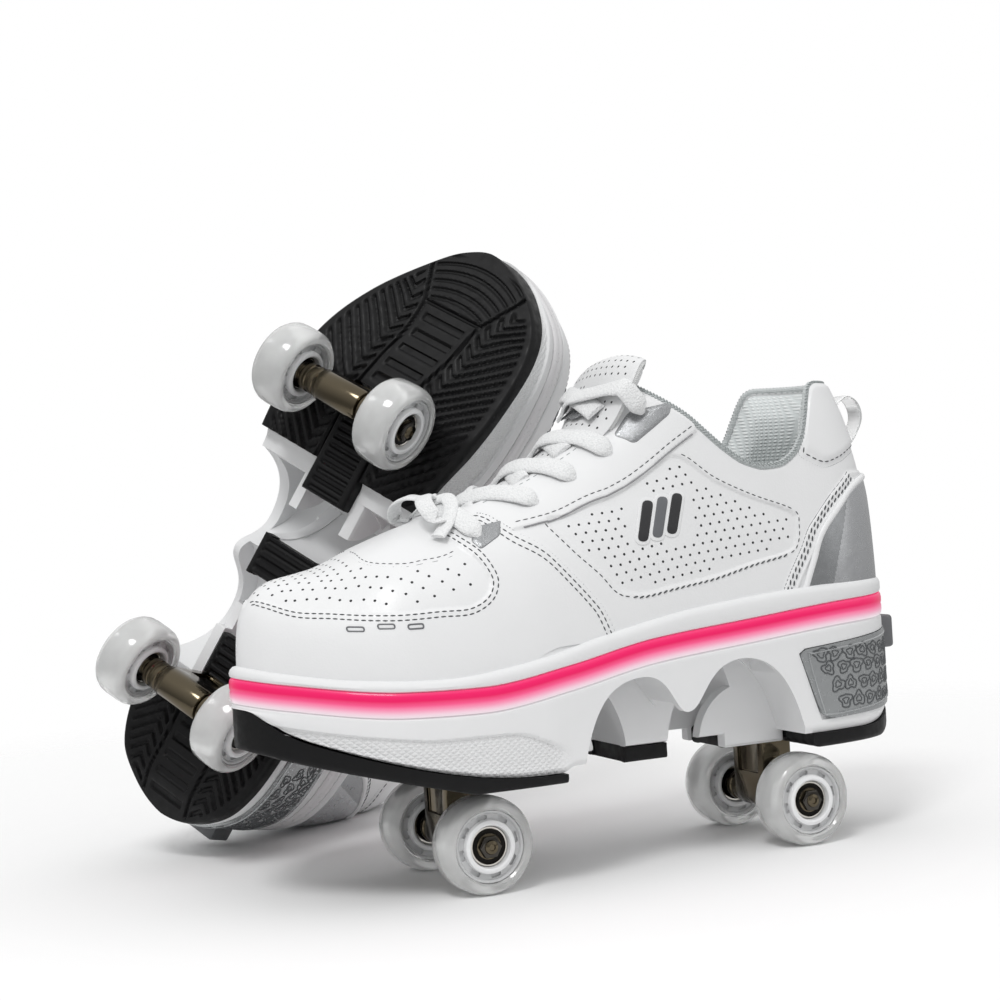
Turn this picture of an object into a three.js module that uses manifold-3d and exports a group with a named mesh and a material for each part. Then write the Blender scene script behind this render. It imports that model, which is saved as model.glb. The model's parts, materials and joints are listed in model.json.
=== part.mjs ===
// A pair of quad roller skates built into sneakers: the left skate stands on
// its four wheels, the right one leans behind it.  Each skate carries two
// trucks that flip half a turn into the midsole, so that it can be walked in.
//
// Each skate is drawn in its own frame, in millimetres: +Z up, the origin on the
// ground halfway between its axles, toe at -X, heel at +X, and the outer
// (lateral) side of the left skate at -Y.  The pair's frame keeps the left
// skate's axes and has its origin under the middle of the pair's bounding box.

import * as THREE from 'three';
import { mergeVertices } from 'three/addons/utils/BufferGeometryUtils.js';
import Module from 'manifold-3d';

// ---------------------------------------------------------------- dimensions

const GAP = 0.3;                  // clearance between neighbouring pieces

// Wheels
const WHEEL_RADIUS = 20;
const WHEEL_WIDTH = 18;
const TREAD_WIDTH = 12;
const TYRE_FACE_RADIUS = 17.6;
const HUB_RADIUS = 14.5;
const BEARING_RADIUS = 8;
const BEARING_DEPTH = 2.5;        // how far the bearing faces sit inside the wheel
const AXLE_RADIUS = 4;
const COLLAR_RADIUS = 6.75;
const NUT_RADIUS = 6.2;
const AXLE_HALF_BASE = 76;        // half the wheelbase
const WHEEL_Y = 31;               // half the track
const WHEEL_SEGMENTS = 16;

// Trucks: a rubber-faced plate that flips about a pin through its middle
const PIN_Z = 47;
const PIN_RADIUS = 2;
const PAD_THICKNESS = 8;
const PAD_HALF_WIDTH = 13;
const PLATE_HALF_WIDTH = 10;
const PLATE_THICKNESS = 3;
const LEG_HALF_DEPTH = 7.5;
const FRONT_PIN_REACH = 27.5;     // from the axle back to the front pin
const REAR_PIN_REACH = 18;        // from the axle forward to the rear pin
const PIN_END = 15.2;             // half the length of a pin
const PIN_SEGMENTS = 8;
const SWEEP_GAP = 1;              // clearance round everything that flips

// Sole
const WALK_Z = 43;                // flat walking tread
const RUBBER_TOP_Z = 49.5;        // top of the heel and middle treads
const FOXING_WALL = 3.5;
const STRIP_HEIGHT = 10;
const STRIP_DEPTH = 2;
const SPINE_HALF_WIDTH = 15.5;
const WELL_INNER_Y = 21;
const WELL_OUTER_Y = 41.3;
const PANEL_DEPTH = 1.6;
const OUTLINE_STEPS = 36;
const CURVE_SEGMENTS = 5;

// Upper
const UPPER_WALL = 6;
const SECTION_POWER = 2.2;        // exponent of the superelliptic cross sections
const INSOLE_THICKNESS = 4;
const COUNTER_THICKNESS = 1.2;

// Release button at the heel
const BUTTON_WIDTH = 24;
const BUTTON_Z = [79, 94.5];
const BUTTON_X = [131.5, 143];
const BUTTON_TRAVEL = 4;

// Reaches of the cutting solids, all past the skate's own surface
const BEYOND = 80;                // to either side of the sole
const ABOVE = 260;                // over the top of the tongue
const THROAT_FLOOR = 120;         // under the throat's lower end

// Where the right skate leans, relative to the left one
const RIGHT_SKATE = {
  position: [-140.6, 70.4, 148.7],
  degrees: [-109.4, 48.2, 134.1],  // turned about X, then Y, then Z of the skate
};

// ------------------------------------------------------------------- colours

const WHITE = { color: 0xf2f2f0, roughness: 0.5, metalness: 0 };
const LEATHER = { color: 0xf6f6f4, roughness: 0.42, metalness: 0 };
const FABRIC = { color: 0xe9ecea, roughness: 0.9, metalness: 0 };
const BLACK_RUBBER = { color: 0x111111, roughness: 0.6, metalness: 0 };
const SILVER = { color: 0xb9bcbe, roughness: 0.35, metalness: 0.7 };
const GREY_PANEL = { color: 0xc2c5c6, roughness: 0.4, metalness: 0.3 };
const PINK_LIGHT = { color: 0xff2f7d, roughness: 0.3, metalness: 0 };
const BRONZE = { color: 0x5a5040, roughness: 0.35, metalness: 0.9 };
const STEEL = { color: 0xc8c8c6, roughness: 0.25, metalness: 1 };
const TYRE = { color: 0xe8e8e6, roughness: 0.25, metalness: 0 };
const GREY_BUTTON = { color: 0x8c8f92, roughness: 0.5, metalness: 0 };

// ------------------------------------------------------------ solid modelling

const wasm = await Module();
wasm.setup();

const vec2 = (points) => points.map(([x, y]) => new THREE.Vector2(x, y));
const radians = THREE.MathUtils.degToRad;

// A closed three.js geometry as a solid that can be joined and cut.
function solid(geometry) {
  const bare = geometry.clone();
  bare.deleteAttribute('normal');
  bare.deleteAttribute('uv');
  const merged = mergeVertices(bare, 1e-4);
  return new wasm.Manifold(new wasm.Mesh({
    numProp: 3,
    vertProperties: new Float32Array(merged.attributes.position.array),
    triVerts: new Uint32Array(merged.index.array),
  }));
}

// A solid as a named mesh.  The right skate mirrors the left one in Y.
function toMesh(name, manifold, material, mirrored) {
  const result = manifold.getMesh();
  const positions = new Float32Array(result.vertProperties);
  const index = new Uint32Array(result.triVerts);
  if (mirrored) {
    for (let i = 1; i < positions.length; i += 3) positions[i] = -positions[i];
    for (let i = 0; i < index.length; i += 3) {
      [index[i + 1], index[i + 2]] = [index[i + 2], index[i + 1]];
    }
  }
  const geometry = new THREE.BufferGeometry();
  geometry.setAttribute('position', new THREE.BufferAttribute(positions, 3));
  geometry.setIndex(new THREE.BufferAttribute(index, 1));
  geometry.computeVertexNormals();
  const mesh = new THREE.Mesh(geometry, new THREE.MeshStandardMaterial(material));
  mesh.name = name;
  return mesh;
}

// A side profile (x, z) extruded across the skate from y0 to y1.
function acrossY(shape, y0, y1) {
  const geometry = new THREE.ExtrudeGeometry(shape, {
    depth: y1 - y0, bevelEnabled: false, curveSegments: CURVE_SEGMENTS,
  });
  geometry.rotateX(Math.PI / 2);
  geometry.translate(0, y1, 0);
  return solid(geometry);
}

// A plan outline (x, y) extruded upwards from z0 to z1.
function upZ(shape, z0, z1) {
  const geometry = new THREE.ExtrudeGeometry(shape, { depth: z1 - z0, bevelEnabled: false });
  geometry.translate(0, 0, z0);
  return solid(geometry);
}

function block([x0, x1], [y0, y1], [z0, z1]) {
  const geometry = new THREE.BoxGeometry(x1 - x0, y1 - y0, z1 - z0);
  geometry.translate((x0 + x1) / 2, (y0 + y1) / 2, (z0 + z1) / 2);
  return solid(geometry);
}

// A cylinder along Y.
function rodY(radius, x, z, y0, y1, segments = 12) {
  const geometry = new THREE.CylinderGeometry(radius, radius, y1 - y0, segments);
  geometry.rotateY(Math.PI / segments);
  geometry.translate(x, (y0 + y1) / 2, z);
  return solid(geometry);
}

// A ring turned about Y: the profile holds [radius, y] pairs and closes on itself.
function turned(profile, x, y, z, segments = WHEEL_SEGMENTS) {
  const closed = [...profile, profile[0]];
  const geometry = new THREE.LatheGeometry(vec2(closed), segments);
  geometry.rotateY(Math.PI / segments);
  geometry.translate(x, y, z);
  return solid(geometry);
}

// Cross sections of equal point counts, joined into one closed skin.
function loft(rings) {
  const count = rings[0].length;
  const positions = [];
  const index = [];
  rings.forEach((ring) => ring.forEach((point) => positions.push(point.x, point.y, point.z)));
  for (let r = 0; r + 1 < rings.length; r++) {
    for (let i = 0; i < count; i++) {
      const a = r * count + i;
      const b = r * count + (i + 1) % count;
      index.push(a, b, a + count, b, b + count, a + count);
    }
  }
  [0, rings.length - 1].forEach((r) => {
    const centre = positions.length / 3;
    const middle = new THREE.Vector3();
    rings[r].forEach((point) => middle.addScaledVector(point, 1 / count));
    positions.push(middle.x, middle.y, middle.z);
    for (let i = 0; i < count; i++) {
      const a = r * count + i;
      const b = r * count + (i + 1) % count;
      if (r === 0) index.push(centre, b, a);
      else index.push(centre, a, b);
    }
  });
  const geometry = new THREE.BufferGeometry();
  geometry.setAttribute('position', new THREE.Float32BufferAttribute(positions, 3));
  geometry.setIndex(index);
  return solid(geometry);
}

// Straight-line interpolation in a list of [x, value, ...] rows.
function at(rows, x, column = 1) {
  const last = rows.length - 1;
  if (x <= rows[0][0]) return rows[0][column];
  if (x >= rows[last][0]) return rows[last][column];
  const i = rows.findIndex((row) => row[0] > x);
  const t = (x - rows[i - 1][0]) / (rows[i][0] - rows[i - 1][0]);
  return rows[i - 1][column] * (1 - t) + rows[i][column] * t;
}

// ------------------------------------------------------------------ the sole

// Plan of the sole, from the toe tip along the lateral side to the heel and back.
const SOLE_PLAN = new THREE.CatmullRomCurve3([
  [-165, 8], [-161, -6], [-150, -18], [-125, -37], [-98, -48], [-60, -50.5], [-15, -47],
  [40, -44], [86, -43.5], [114, -36.5], [130.5, -20], [136.5, 0],
  [130.5, 20], [114, 36.5], [86, 43.5], [40, 44.5], [-10, 46.5], [-50, 50], [-80, 57],
  [-105, 58.5], [-128, 56], [-145, 47], [-158, 29],
].map(([x, y]) => new THREE.Vector3(x, y, 0)), true);

// The sole's plan grown (or, with a negative offset, shrunk) all round.
function solePlan(offset) {
  const points = SOLE_PLAN.getPoints(OUTLINE_STEPS).slice(0, -1).map((p, i) => {
    const tangent = SOLE_PLAN.getTangent(i / OUTLINE_STEPS);
    return new THREE.Vector2(p.x + tangent.y * offset, p.y - tangent.x * offset);
  });
  return new THREE.Shape(points);
}

// Height of the foxing's rim and of the light strip's top edge along the sole.
const FOXING_TOP = [[-170, 99], [-151, 94.8], [-130, 91.5], [-93, 89.5], [-58, 93],
  [-21, 100.7], [27, 108.4], [93, 113], [145, 113.3]];
const STRIP_TOP = [[-170, 94], [-151, 90.5], [-110, 85.5], [-80, 85], [-40, 90],
  [0, 97], [46, 101], [97, 105.2], [145, 106.5]];

// Height that the foot rests on, above the wheel wells.
const FLOOR = [[-170, 90], [-130, 86], [-90, 85.5], [-62, 90], [-42, 97.5], [60, 99], [145, 103]];

// Lower edge of the white midsole in front of the arches, and behind them.
const TOE_SEAM = [[-172, 79.5], [-152, 71], [-132, 63], [-112, 56.7], [-95, 52.4],
  [-78, 49.2], [-61, 47.5], [-44, 47]];

function profile(topRows, bottomRows) {
  return new THREE.Shape(vec2([...topRows, ...[...bottomRows].reverse()]));
}

const moved = (rows, dz) => rows.map(([x, z]) => [x, z + dz]);

// The arches in the side walls: front arch, tooth, rear arch.
function archOpening() {
  const shape = new THREE.Shape();
  shape.moveTo(-37, 30);
  shape.lineTo(-35, 53);
  shape.bezierCurveTo(-30, 72, -22, 82, -6, 82);
  shape.bezierCurveTo(7, 82, 8, 65.5, 14.5, 65.3);
  shape.bezierCurveTo(23, 65.3, 24, 85, 43, 85);
  shape.bezierCurveTo(61, 85, 68, 68, 72.6, 50);
  shape.lineTo(74, 30);
  return shape;
}

// ---------------------------------------------------------------- the trucks

// side is +1 for the front truck, whose leg is on the toe side of its pin, and
// -1 for the rear truck, which is the other way round.
const FRONT = { name: 'front', side: 1, reach: FRONT_PIN_REACH };
const REAR = { name: 'rear', side: -1, reach: REAR_PIN_REACH };
const axleX = (truck) => -truck.side * AXLE_HALF_BASE;
const pinX = (truck) => axleX(truck) + truck.side * truck.reach;
const orbit = (truck) => Math.hypot(truck.reach, PIN_Z - WHEEL_RADIUS);
const padHalf = (truck) => truck.reach - LEG_HALF_DEPTH - GAP;

// A fan about the pin from one angle to another, in degrees, between two radii.
// Angles are the front truck's; the rear truck's fan is its mirror image.
function fan(truck, inner, outer, from, to) {
  const steps = Math.ceil((to - from) / 15);
  const arc = (radius, start, end) => Array.from({ length: steps + 1 }, (_, i) => {
    const angle = radians(start + ((end - start) * i) / steps);
    return [
      pinX(truck) + truck.side * radius * Math.cos(angle),
      PIN_Z + radius * Math.sin(angle),
    ];
  });
  const inside = inner > 0 ? arc(inner, to, from) : [[pinX(truck), PIN_Z]];
  return new THREE.Shape(vec2([...arc(outer, from, to), ...inside]));
}

// Everything that the flipping truck passes through, joined as one cutter.
function truckSweep(truck) {
  const axleAngle = THREE.MathUtils.radToDeg(
    Math.atan2(WHEEL_RADIUS - PIN_Z, -truck.reach),
  );
  const slotY = PAD_HALF_WIDTH + SWEEP_GAP / 2;
  const bossAngle = THREE.MathUtils.radToDeg(
    Math.asin((LEG_HALF_DEPTH + SWEEP_GAP) / orbit(truck)),
  );
  const legRadius = Math.hypot(truck.reach + LEG_HALF_DEPTH, PAD_THICKNESS / 2) + SWEEP_GAP;
  const padRadius = Math.hypot(padHalf(truck), PAD_THICKNESS / 2) + SWEEP_GAP;
  const bossRadius = orbit(truck) + LEG_HALF_DEPTH + SWEEP_GAP;
  const wheelReach = WHEEL_RADIUS + SWEEP_GAP;
  const stowed = axleAngle + 180;
  const stowedX = pinX(truck) + truck.side * truck.reach;
  const stowedZ = 2 * PIN_Z - WHEEL_RADIUS;

  const cutters = [
    rodY(padRadius, pinX(truck), PIN_Z, -slotY, slotY, 20),
    block(
      [axleX(truck) - LEG_HALF_DEPTH - SWEEP_GAP, axleX(truck) + LEG_HALF_DEPTH + SWEEP_GAP],
      [-slotY, slotY], [0, PIN_Z + PAD_THICKNESS / 2 + SWEEP_GAP],
    ),
    acrossY(fan(truck, 0, legRadius, -180, stowed), -slotY, slotY),
    acrossY(fan(truck, 0, bossRadius, axleAngle - bossAngle, stowed + bossAngle), -slotY, slotY),
    rodY(LEG_HALF_DEPTH + SWEEP_GAP, stowedX, stowedZ, -slotY, slotY),
    acrossY(fan(
      truck, orbit(truck) - COLLAR_RADIUS - SWEEP_GAP, orbit(truck) + COLLAR_RADIUS + SWEEP_GAP,
      axleAngle - bossAngle, stowed + bossAngle,
    ), -WELL_INNER_Y - SWEEP_GAP, WELL_INNER_Y + SWEEP_GAP),
  ];
  [[-WELL_OUTER_Y, -WELL_INNER_Y], [WELL_INNER_Y, WELL_OUTER_Y]].forEach(([y0, y1]) => {
    cutters.push(acrossY(fan(
      truck, orbit(truck) - wheelReach, orbit(truck) + wheelReach, axleAngle, stowed,
    ), y0, y1));
    cutters.push(rodY(wheelReach, stowedX, stowedZ, y0, y1, 20));
  });
  [-1, 1].forEach((sign) => {
    const [y0, y1] = [sign * PLATE_HALF_WIDTH, sign * SPINE_HALF_WIDTH].sort((a, b) => a - b);
    cutters.push(rodY(PIN_RADIUS + GAP, pinX(truck), PIN_Z, y0, y1, PIN_SEGMENTS));
  });
  return cutters.reduce((joined, cutter) => joined.add(cutter));
}

const sweeps = truckSweep(FRONT).add(truckSweep(REAR));

// The steel leg with the plate core and the pin stubs, welded into one piece.
function truckLeg(truck) {
  const x = axleX(truck);
  const top = PIN_Z + PAD_THICKNESS / 2;
  const leg = new THREE.Shape();
  leg.moveTo(x - LEG_HALF_DEPTH, top);
  leg.lineTo(x - LEG_HALF_DEPTH, WHEEL_RADIUS);
  leg.absarc(x, WHEEL_RADIUS, LEG_HALF_DEPTH, Math.PI, 2 * Math.PI, false);
  leg.lineTo(x + LEG_HALF_DEPTH, top);
  const plateEnd = pinX(truck) + truck.side * (padHalf(truck) - 3);
  const plate = block(
    [Math.min(x, plateEnd), Math.max(x, plateEnd)],
    [-PLATE_HALF_WIDTH, PLATE_HALF_WIDTH],
    [PIN_Z - PLATE_THICKNESS / 2, PIN_Z + PLATE_THICKNESS / 2],
  );
  return acrossY(leg, -PAD_HALF_WIDTH, PAD_HALF_WIDTH)
    .add(plate)
    .add(rodY(PIN_RADIUS, pinX(truck), PIN_Z, -PIN_END, PIN_END, PIN_SEGMENTS))
    .subtract(rodY(AXLE_RADIUS + GAP, x, WHEEL_RADIUS, -PIN_END, PIN_END));
}

// The rubber pad wrapped round the plate, open towards the leg.
function flipPad(truck) {
  const half = padHalf(truck);
  const x = pinX(truck);
  const legSide = x - truck.side * (half + 1);
  const slotEnd = x + truck.side * (half - 3 + GAP);
  const slot = block(
    [Math.min(legSide, slotEnd), Math.max(legSide, slotEnd)],
    [-PLATE_HALF_WIDTH - GAP, PLATE_HALF_WIDTH + GAP],
    [PIN_Z - PLATE_THICKNESS / 2 - GAP, PIN_Z + PLATE_THICKNESS / 2 + GAP],
  );
  return block(
    [x - half, x + half],
    [-PAD_HALF_WIDTH, PAD_HALF_WIDTH],
    [PIN_Z - PAD_THICKNESS / 2, PIN_Z + PAD_THICKNESS / 2],
  )
    .subtract(slot)
    .subtract(rodY(PIN_RADIUS + GAP, x, PIN_Z, -PIN_END, PIN_END, PIN_SEGMENTS));
}

// The axle rod with its two collars and end nuts.
function truckAxle(truck) {
  const x = axleX(truck);
  const z = WHEEL_RADIUS;
  const end = WHEEL_Y + WHEEL_WIDTH / 2 + 1;
  const nutFoot = WHEEL_Y + WHEEL_WIDTH / 2 - BEARING_DEPTH + GAP;
  let axle = rodY(AXLE_RADIUS, x, z, -end, end);
  [-1, 1].forEach((sign) => {
    const span = (a, b) => [sign * a, sign * b].sort((p, q) => p - q);
    const [c0, c1] = span(PAD_HALF_WIDTH + GAP, WHEEL_Y - WHEEL_WIDTH / 2 - GAP);
    const [n0, n1] = span(nutFoot, end - 1);
    axle = axle
      .add(rodY(COLLAR_RADIUS, x, z, c0, c1))
      .add(rodY(NUT_RADIUS, x, z, n0, n1, 6));
  });
  return axle;
}

// ---------------------------------------------------------------- the wheels

const half = WHEEL_WIDTH / 2;

const TYRE_PROFILE = [
  [HUB_RADIUS + GAP, -half], [TYRE_FACE_RADIUS, -half], [WHEEL_RADIUS, -TREAD_WIDTH / 2],
  [WHEEL_RADIUS, TREAD_WIDTH / 2], [TYRE_FACE_RADIUS, half], [HUB_RADIUS + GAP, half],
];

const HUB_PROFILE = [
  [BEARING_RADIUS + GAP, -half + 1], [HUB_RADIUS, -half + 1],
  [HUB_RADIUS, half - 1], [BEARING_RADIUS + GAP, half - 1],
];

// The bearing pair with the spacer between them, as one sleeve.
const BEARING_PROFILE = [
  [AXLE_RADIUS + GAP, -half + BEARING_DEPTH], [BEARING_RADIUS, -half + BEARING_DEPTH],
  [BEARING_RADIUS, half - BEARING_DEPTH], [AXLE_RADIUS + GAP, half - BEARING_DEPTH],
];

const HUB_WINDOWS = 5;
const HUB_WINDOW_RADIUS = 11.4;
const HUB_WINDOW_SIZE = [2, 4];

function wheelHub(x, y) {
  let hub = turned(HUB_PROFILE, x, y, WHEEL_RADIUS);
  const window = new THREE.BoxGeometry(HUB_WINDOW_SIZE[0], WHEEL_WIDTH, HUB_WINDOW_SIZE[1]);
  for (let i = 0; i < HUB_WINDOWS; i++) {
    const angle = (2 * Math.PI * i) / HUB_WINDOWS;
    const cutter = window.clone();
    cutter.translate(HUB_WINDOW_RADIUS, 0, 0);
    cutter.rotateY(angle);
    cutter.translate(x, y, WHEEL_RADIUS);
    hub = hub.subtract(solid(cutter));
  }
  return hub;
}

// ----------------------------------------------------------------- the upper

// Rows of [x, centre y, half width, top z] along the shoe.
const UPPER = [
  [-160, 10, 12, 113], [-153, 11, 19, 127.5], [-142, 12, 30, 130.5], [-127, 10, 41, 133.5],
  [-107, 6.5, 46.5, 142], [-85, 4, 48, 150], [-62, 1.5, 46.5, 158], [-41, 0, 44.5, 167],
  [-21, 0, 43, 179], [-3, 0, 41.5, 193], [13, 0, 40.5, 211], [30, 0, 39.5, 230],
  [60, 0, 39, 236], [90, 0, 38.5, 232], [108, 0, 34, 200], [118, 0, 27, 189],
  [126, 0, 18, 167], [129.5, 0, 11, 148],
];

const TOPLINE = [[15, ABOVE], [15, 204], [31, 188], [45, 174], [64, 165.5], [80, 169.5],
  [88, 181], [94, 193], [103, 199], [150, 199], [150, ABOVE]];

const SECTION_POINTS = 12;

// One cross section of the upper, grown outwards by offset (negative: inwards).
function section([x, yc, w, top], offset, base) {
  const height = top + offset - base;
  return Array.from({ length: SECTION_POINTS + 1 }, (_, i) => {
    const angle = (Math.PI * i) / SECTION_POINTS;
    const c = Math.cos(angle);
    const s = Math.sin(angle);
    const power = 2 / SECTION_POWER;
    return new THREE.Vector3(
      x,
      yc + (w + offset) * Math.sign(c) * Math.abs(c) ** power,
      base + height * Math.abs(s) ** power,
    );
  });
}

// The upper's outer form, grown or shrunk; its ends move with the offset too.
function upperForm(offset, baseShift) {
  const rings = UPPER.map((row, i) => {
    const shift = i === 0 ? -offset : i === UPPER.length - 1 ? offset : 0;
    const base = at(FLOOR, row[0]) + GAP + baseShift;
    return section([row[0] + shift, ...row.slice(1)], offset, base);
  });
  return loft(rings);
}

// Height of the outer skin above a point of the plan.
function skinZ(x, y) {
  const base = at(FLOOR, x) + GAP;
  const across = Math.min(1, Math.abs(y - at(UPPER, x, 1)) / at(UPPER, x, 2));
  return base + (at(UPPER, x, 3) - base) * (1 - across ** SECTION_POWER) ** (1 / SECTION_POWER);
}

// The throat between the eyestays, as a plan shape grown by offset.
function throat(offset) {
  const toeEnd = -70 - offset;
  return new THREE.Shape(vec2([
    [toeEnd, -11 - offset], [60, -19 - offset], [60, 19 + offset], [toeEnd, 11 + offset],
  ]));
}

// The foxing's wall, which the lower edge of the upper stays inside.
function foxingWall() {
  return acrossY(profile(moved(FOXING_TOP, GAP), moved(FLOOR, -20)), -BEYOND, BEYOND)
    .subtract(upZ(solePlan(-FOXING_WALL - GAP), 0, ABOVE));
}

function upperShell() {
  return upperForm(0, 0)
    .subtract(upperForm(-UPPER_WALL, -20))
    .subtract(acrossY(new THREE.Shape(vec2(TOPLINE)), -BEYOND, BEYOND))
    .subtract(upZ(throat(0), THROAT_FLOOR, ABOVE))
    .subtract(foxingWall());
}

// The tongue lies in the throat and widens above the top eyelets.
const TONGUE_TOP = [[-68, 154], [-41, 168], [-21, 180.5], [-3, 195], [5, 208], [14, 217], [27, 212]];
const TONGUE_UNDERSIDE = [[-68, 147], [-40, 158], [-20, 170], [0, 184], [14, 198], [27, 211]];

function shoeTongue() {
  const wings = [[6, 209], [14, 217], [28, 212], [21, 205]];
  return acrossY(profile(TONGUE_TOP, TONGUE_UNDERSIDE), -40, 40)
    .intersect(upZ(throat(-GAP), THROAT_FLOOR, ABOVE))
    .add(acrossY(new THREE.Shape(vec2(wings)), -28, 28));
}

// One cord laced to and fro over the throat.
const LACE_ROWS = 6;
const LACE_RADIUS = 2;
const LACE_HALF_SPAN = 22;
const LACE_START = -64;
const LACE_LENGTH = 61;

function shoeLace() {
  const points = [];
  for (let i = 0; i <= LACE_ROWS; i++) {
    const x = LACE_START + (LACE_LENGTH * i) / LACE_ROWS;
    const sign = i % 2 ? 1 : -1;
    points.push(new THREE.Vector3(x, sign * LACE_HALF_SPAN, skinZ(x, LACE_HALF_SPAN) + 5));
    if (i === LACE_ROWS) break;
    [0.3, 0.7].forEach((t) => {
      const between = x + (t * LACE_LENGTH) / LACE_ROWS;
      const y = sign * LACE_HALF_SPAN * (1 - 2 * t);
      points.push(new THREE.Vector3(between, y, at(TONGUE_TOP, between) + 10.5));
    });
  }
  const cord = new THREE.Shape();
  cord.absarc(0, 0, LACE_RADIUS, 0, 2 * Math.PI, false);
  return solid(new THREE.ExtrudeGeometry(cord, {
    extrudePath: new THREE.CatmullRomCurve3(points), steps: 30, curveSegments: 3,
  }));
}

// --------------------------------------------------------- shoe body pieces

function heelPanelBand(grow) {
  const side = new THREE.Shape(vec2([
    [71 - grow, 84 + grow], [74 - grow, 86 + grow], [100, 88 + grow], [150, 92 + grow],
    [150, 62 - grow], [122, 56 - grow], [81 - grow, 55 - grow],
  ]));
  return acrossY(side, -BEYOND, BEYOND);
}

const buttonHole = (grow) => block(
  [BUTTON_X[0] - BUTTON_TRAVEL - 1, 150],
  [-BUTTON_WIDTH / 2 - grow, BUTTON_WIDTH / 2 + grow],
  [BUTTON_Z[0] - grow, BUTTON_Z[1] + grow],
);

function stripBand(grow) {
  return acrossY(profile(
    moved(STRIP_TOP, grow), moved(STRIP_TOP, -STRIP_HEIGHT - grow),
  ), -BEYOND, BEYOND);
}

function midsole() {
  const lower = [...TOE_SEAM, [-44, RUBBER_TOP_Z], [106, RUBBER_TOP_Z], [125, 52], [145, 60]];
  const walls = acrossY(profile(FOXING_TOP, lower), -BEYOND, BEYOND)
    .subtract(acrossY(archOpening(), -BEYOND, BEYOND));
  const spine = block([-46, 76], [-SPINE_HALF_WIDTH, SPINE_HALF_WIDTH], [RUBBER_TOP_Z + GAP, 90]);
  const cheeks = block([46, 76], [-SPINE_HALF_WIDTH, SPINE_HALF_WIDTH], [WALK_Z + 1, 60]);
  const pocket = upZ(solePlan(-FOXING_WALL), 0, ABOVE)
    .intersect(acrossY(profile(moved(FOXING_TOP, 20), FLOOR), -BEYOND, BEYOND));
  const stripGroove = stripBand(GAP).subtract(upZ(solePlan(-STRIP_DEPTH), 0, ABOVE));
  const panelRecess = heelPanelBand(GAP).subtract(upZ(solePlan(-PANEL_DEPTH), 0, ABOVE));
  return walls.add(spine).add(cheeks)
    .intersect(upZ(solePlan(0), 0, ABOVE))
    .subtract(pocket)
    .subtract(sweeps)
    .subtract(stripGroove)
    .subtract(panelRecess)
    .subtract(buttonHole(GAP));
}

function lightStrip() {
  return stripBand(0)
    .intersect(upZ(solePlan(0.6), 0, ABOVE))
    .subtract(upZ(solePlan(-STRIP_DEPTH + GAP), 0, ABOVE));
}

function heelPanel() {
  return heelPanelBand(0)
    .intersect(upZ(solePlan(0.8), 0, ABOVE))
    .subtract(upZ(solePlan(-PANEL_DEPTH + GAP), 0, ABOVE))
    .subtract(buttonHole(2 * GAP));
}

function outsoleFront() {
  const bottom = [[-172, 67], [-165, 65], [-150, 60], [-130, 54.5], [-112, 50], [-96, 46],
    [-82, WALK_Z], [-44, WALK_Z]];
  return acrossY(profile(moved(TOE_SEAM, -GAP), bottom), -BEYOND, BEYOND)
    .intersect(upZ(solePlan(0), 0, ABOVE))
    .subtract(sweeps);
}

function outsoleMiddle() {
  const side = new THREE.Shape(vec2([
    [-12, RUBBER_TOP_Z], [31, RUBBER_TOP_Z], [31, 46], [27, WALK_Z + 1], [2, WALK_Z], [-12, WALK_Z + 3],
  ]));
  return acrossY(side, -SPINE_HALF_WIDTH + 1, SPINE_HALF_WIDTH - 1).subtract(sweeps);
}

function outsoleRear() {
  const side = new THREE.Shape(vec2([
    [76 + GAP, RUBBER_TOP_Z - GAP], [106, RUBBER_TOP_Z - GAP], [125, 52 - GAP], [145, 60 - GAP],
    [145, 52], [130, 46.5], [118, WALK_Z], [80, WALK_Z], [76 + GAP, 44.5],
  ]));
  return acrossY(side, -BEYOND, BEYOND).intersect(upZ(solePlan(0), 0, ABOVE)).subtract(sweeps);
}

function releaseButton() {
  return block(BUTTON_X, [-BUTTON_WIDTH / 2, BUTTON_WIDTH / 2],
    [BUTTON_Z[0] + GAP, BUTTON_Z[1] - GAP]);
}

function insole() {
  return acrossY(profile(moved(FLOOR, INSOLE_THICKNESS + GAP), moved(FLOOR, GAP)), -BEYOND, BEYOND)
    .intersect(upperForm(-UPPER_WALL - 2 * GAP, -20))
    .intersect(upZ(solePlan(-FOXING_WALL - UPPER_WALL - 2), 0, ABOVE));
}

function heelCounter() {
  const wedge = new THREE.Shape(vec2([[80, 114.5], [107, 160], [150, 160], [150, 114.5]]));
  return upperForm(COUNTER_THICKNESS + GAP, 0)
    .subtract(upperForm(GAP, 0))
    .intersect(acrossY(wedge, -BEYOND, BEYOND));
}

// ------------------------------------------------------------------ one skate

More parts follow.
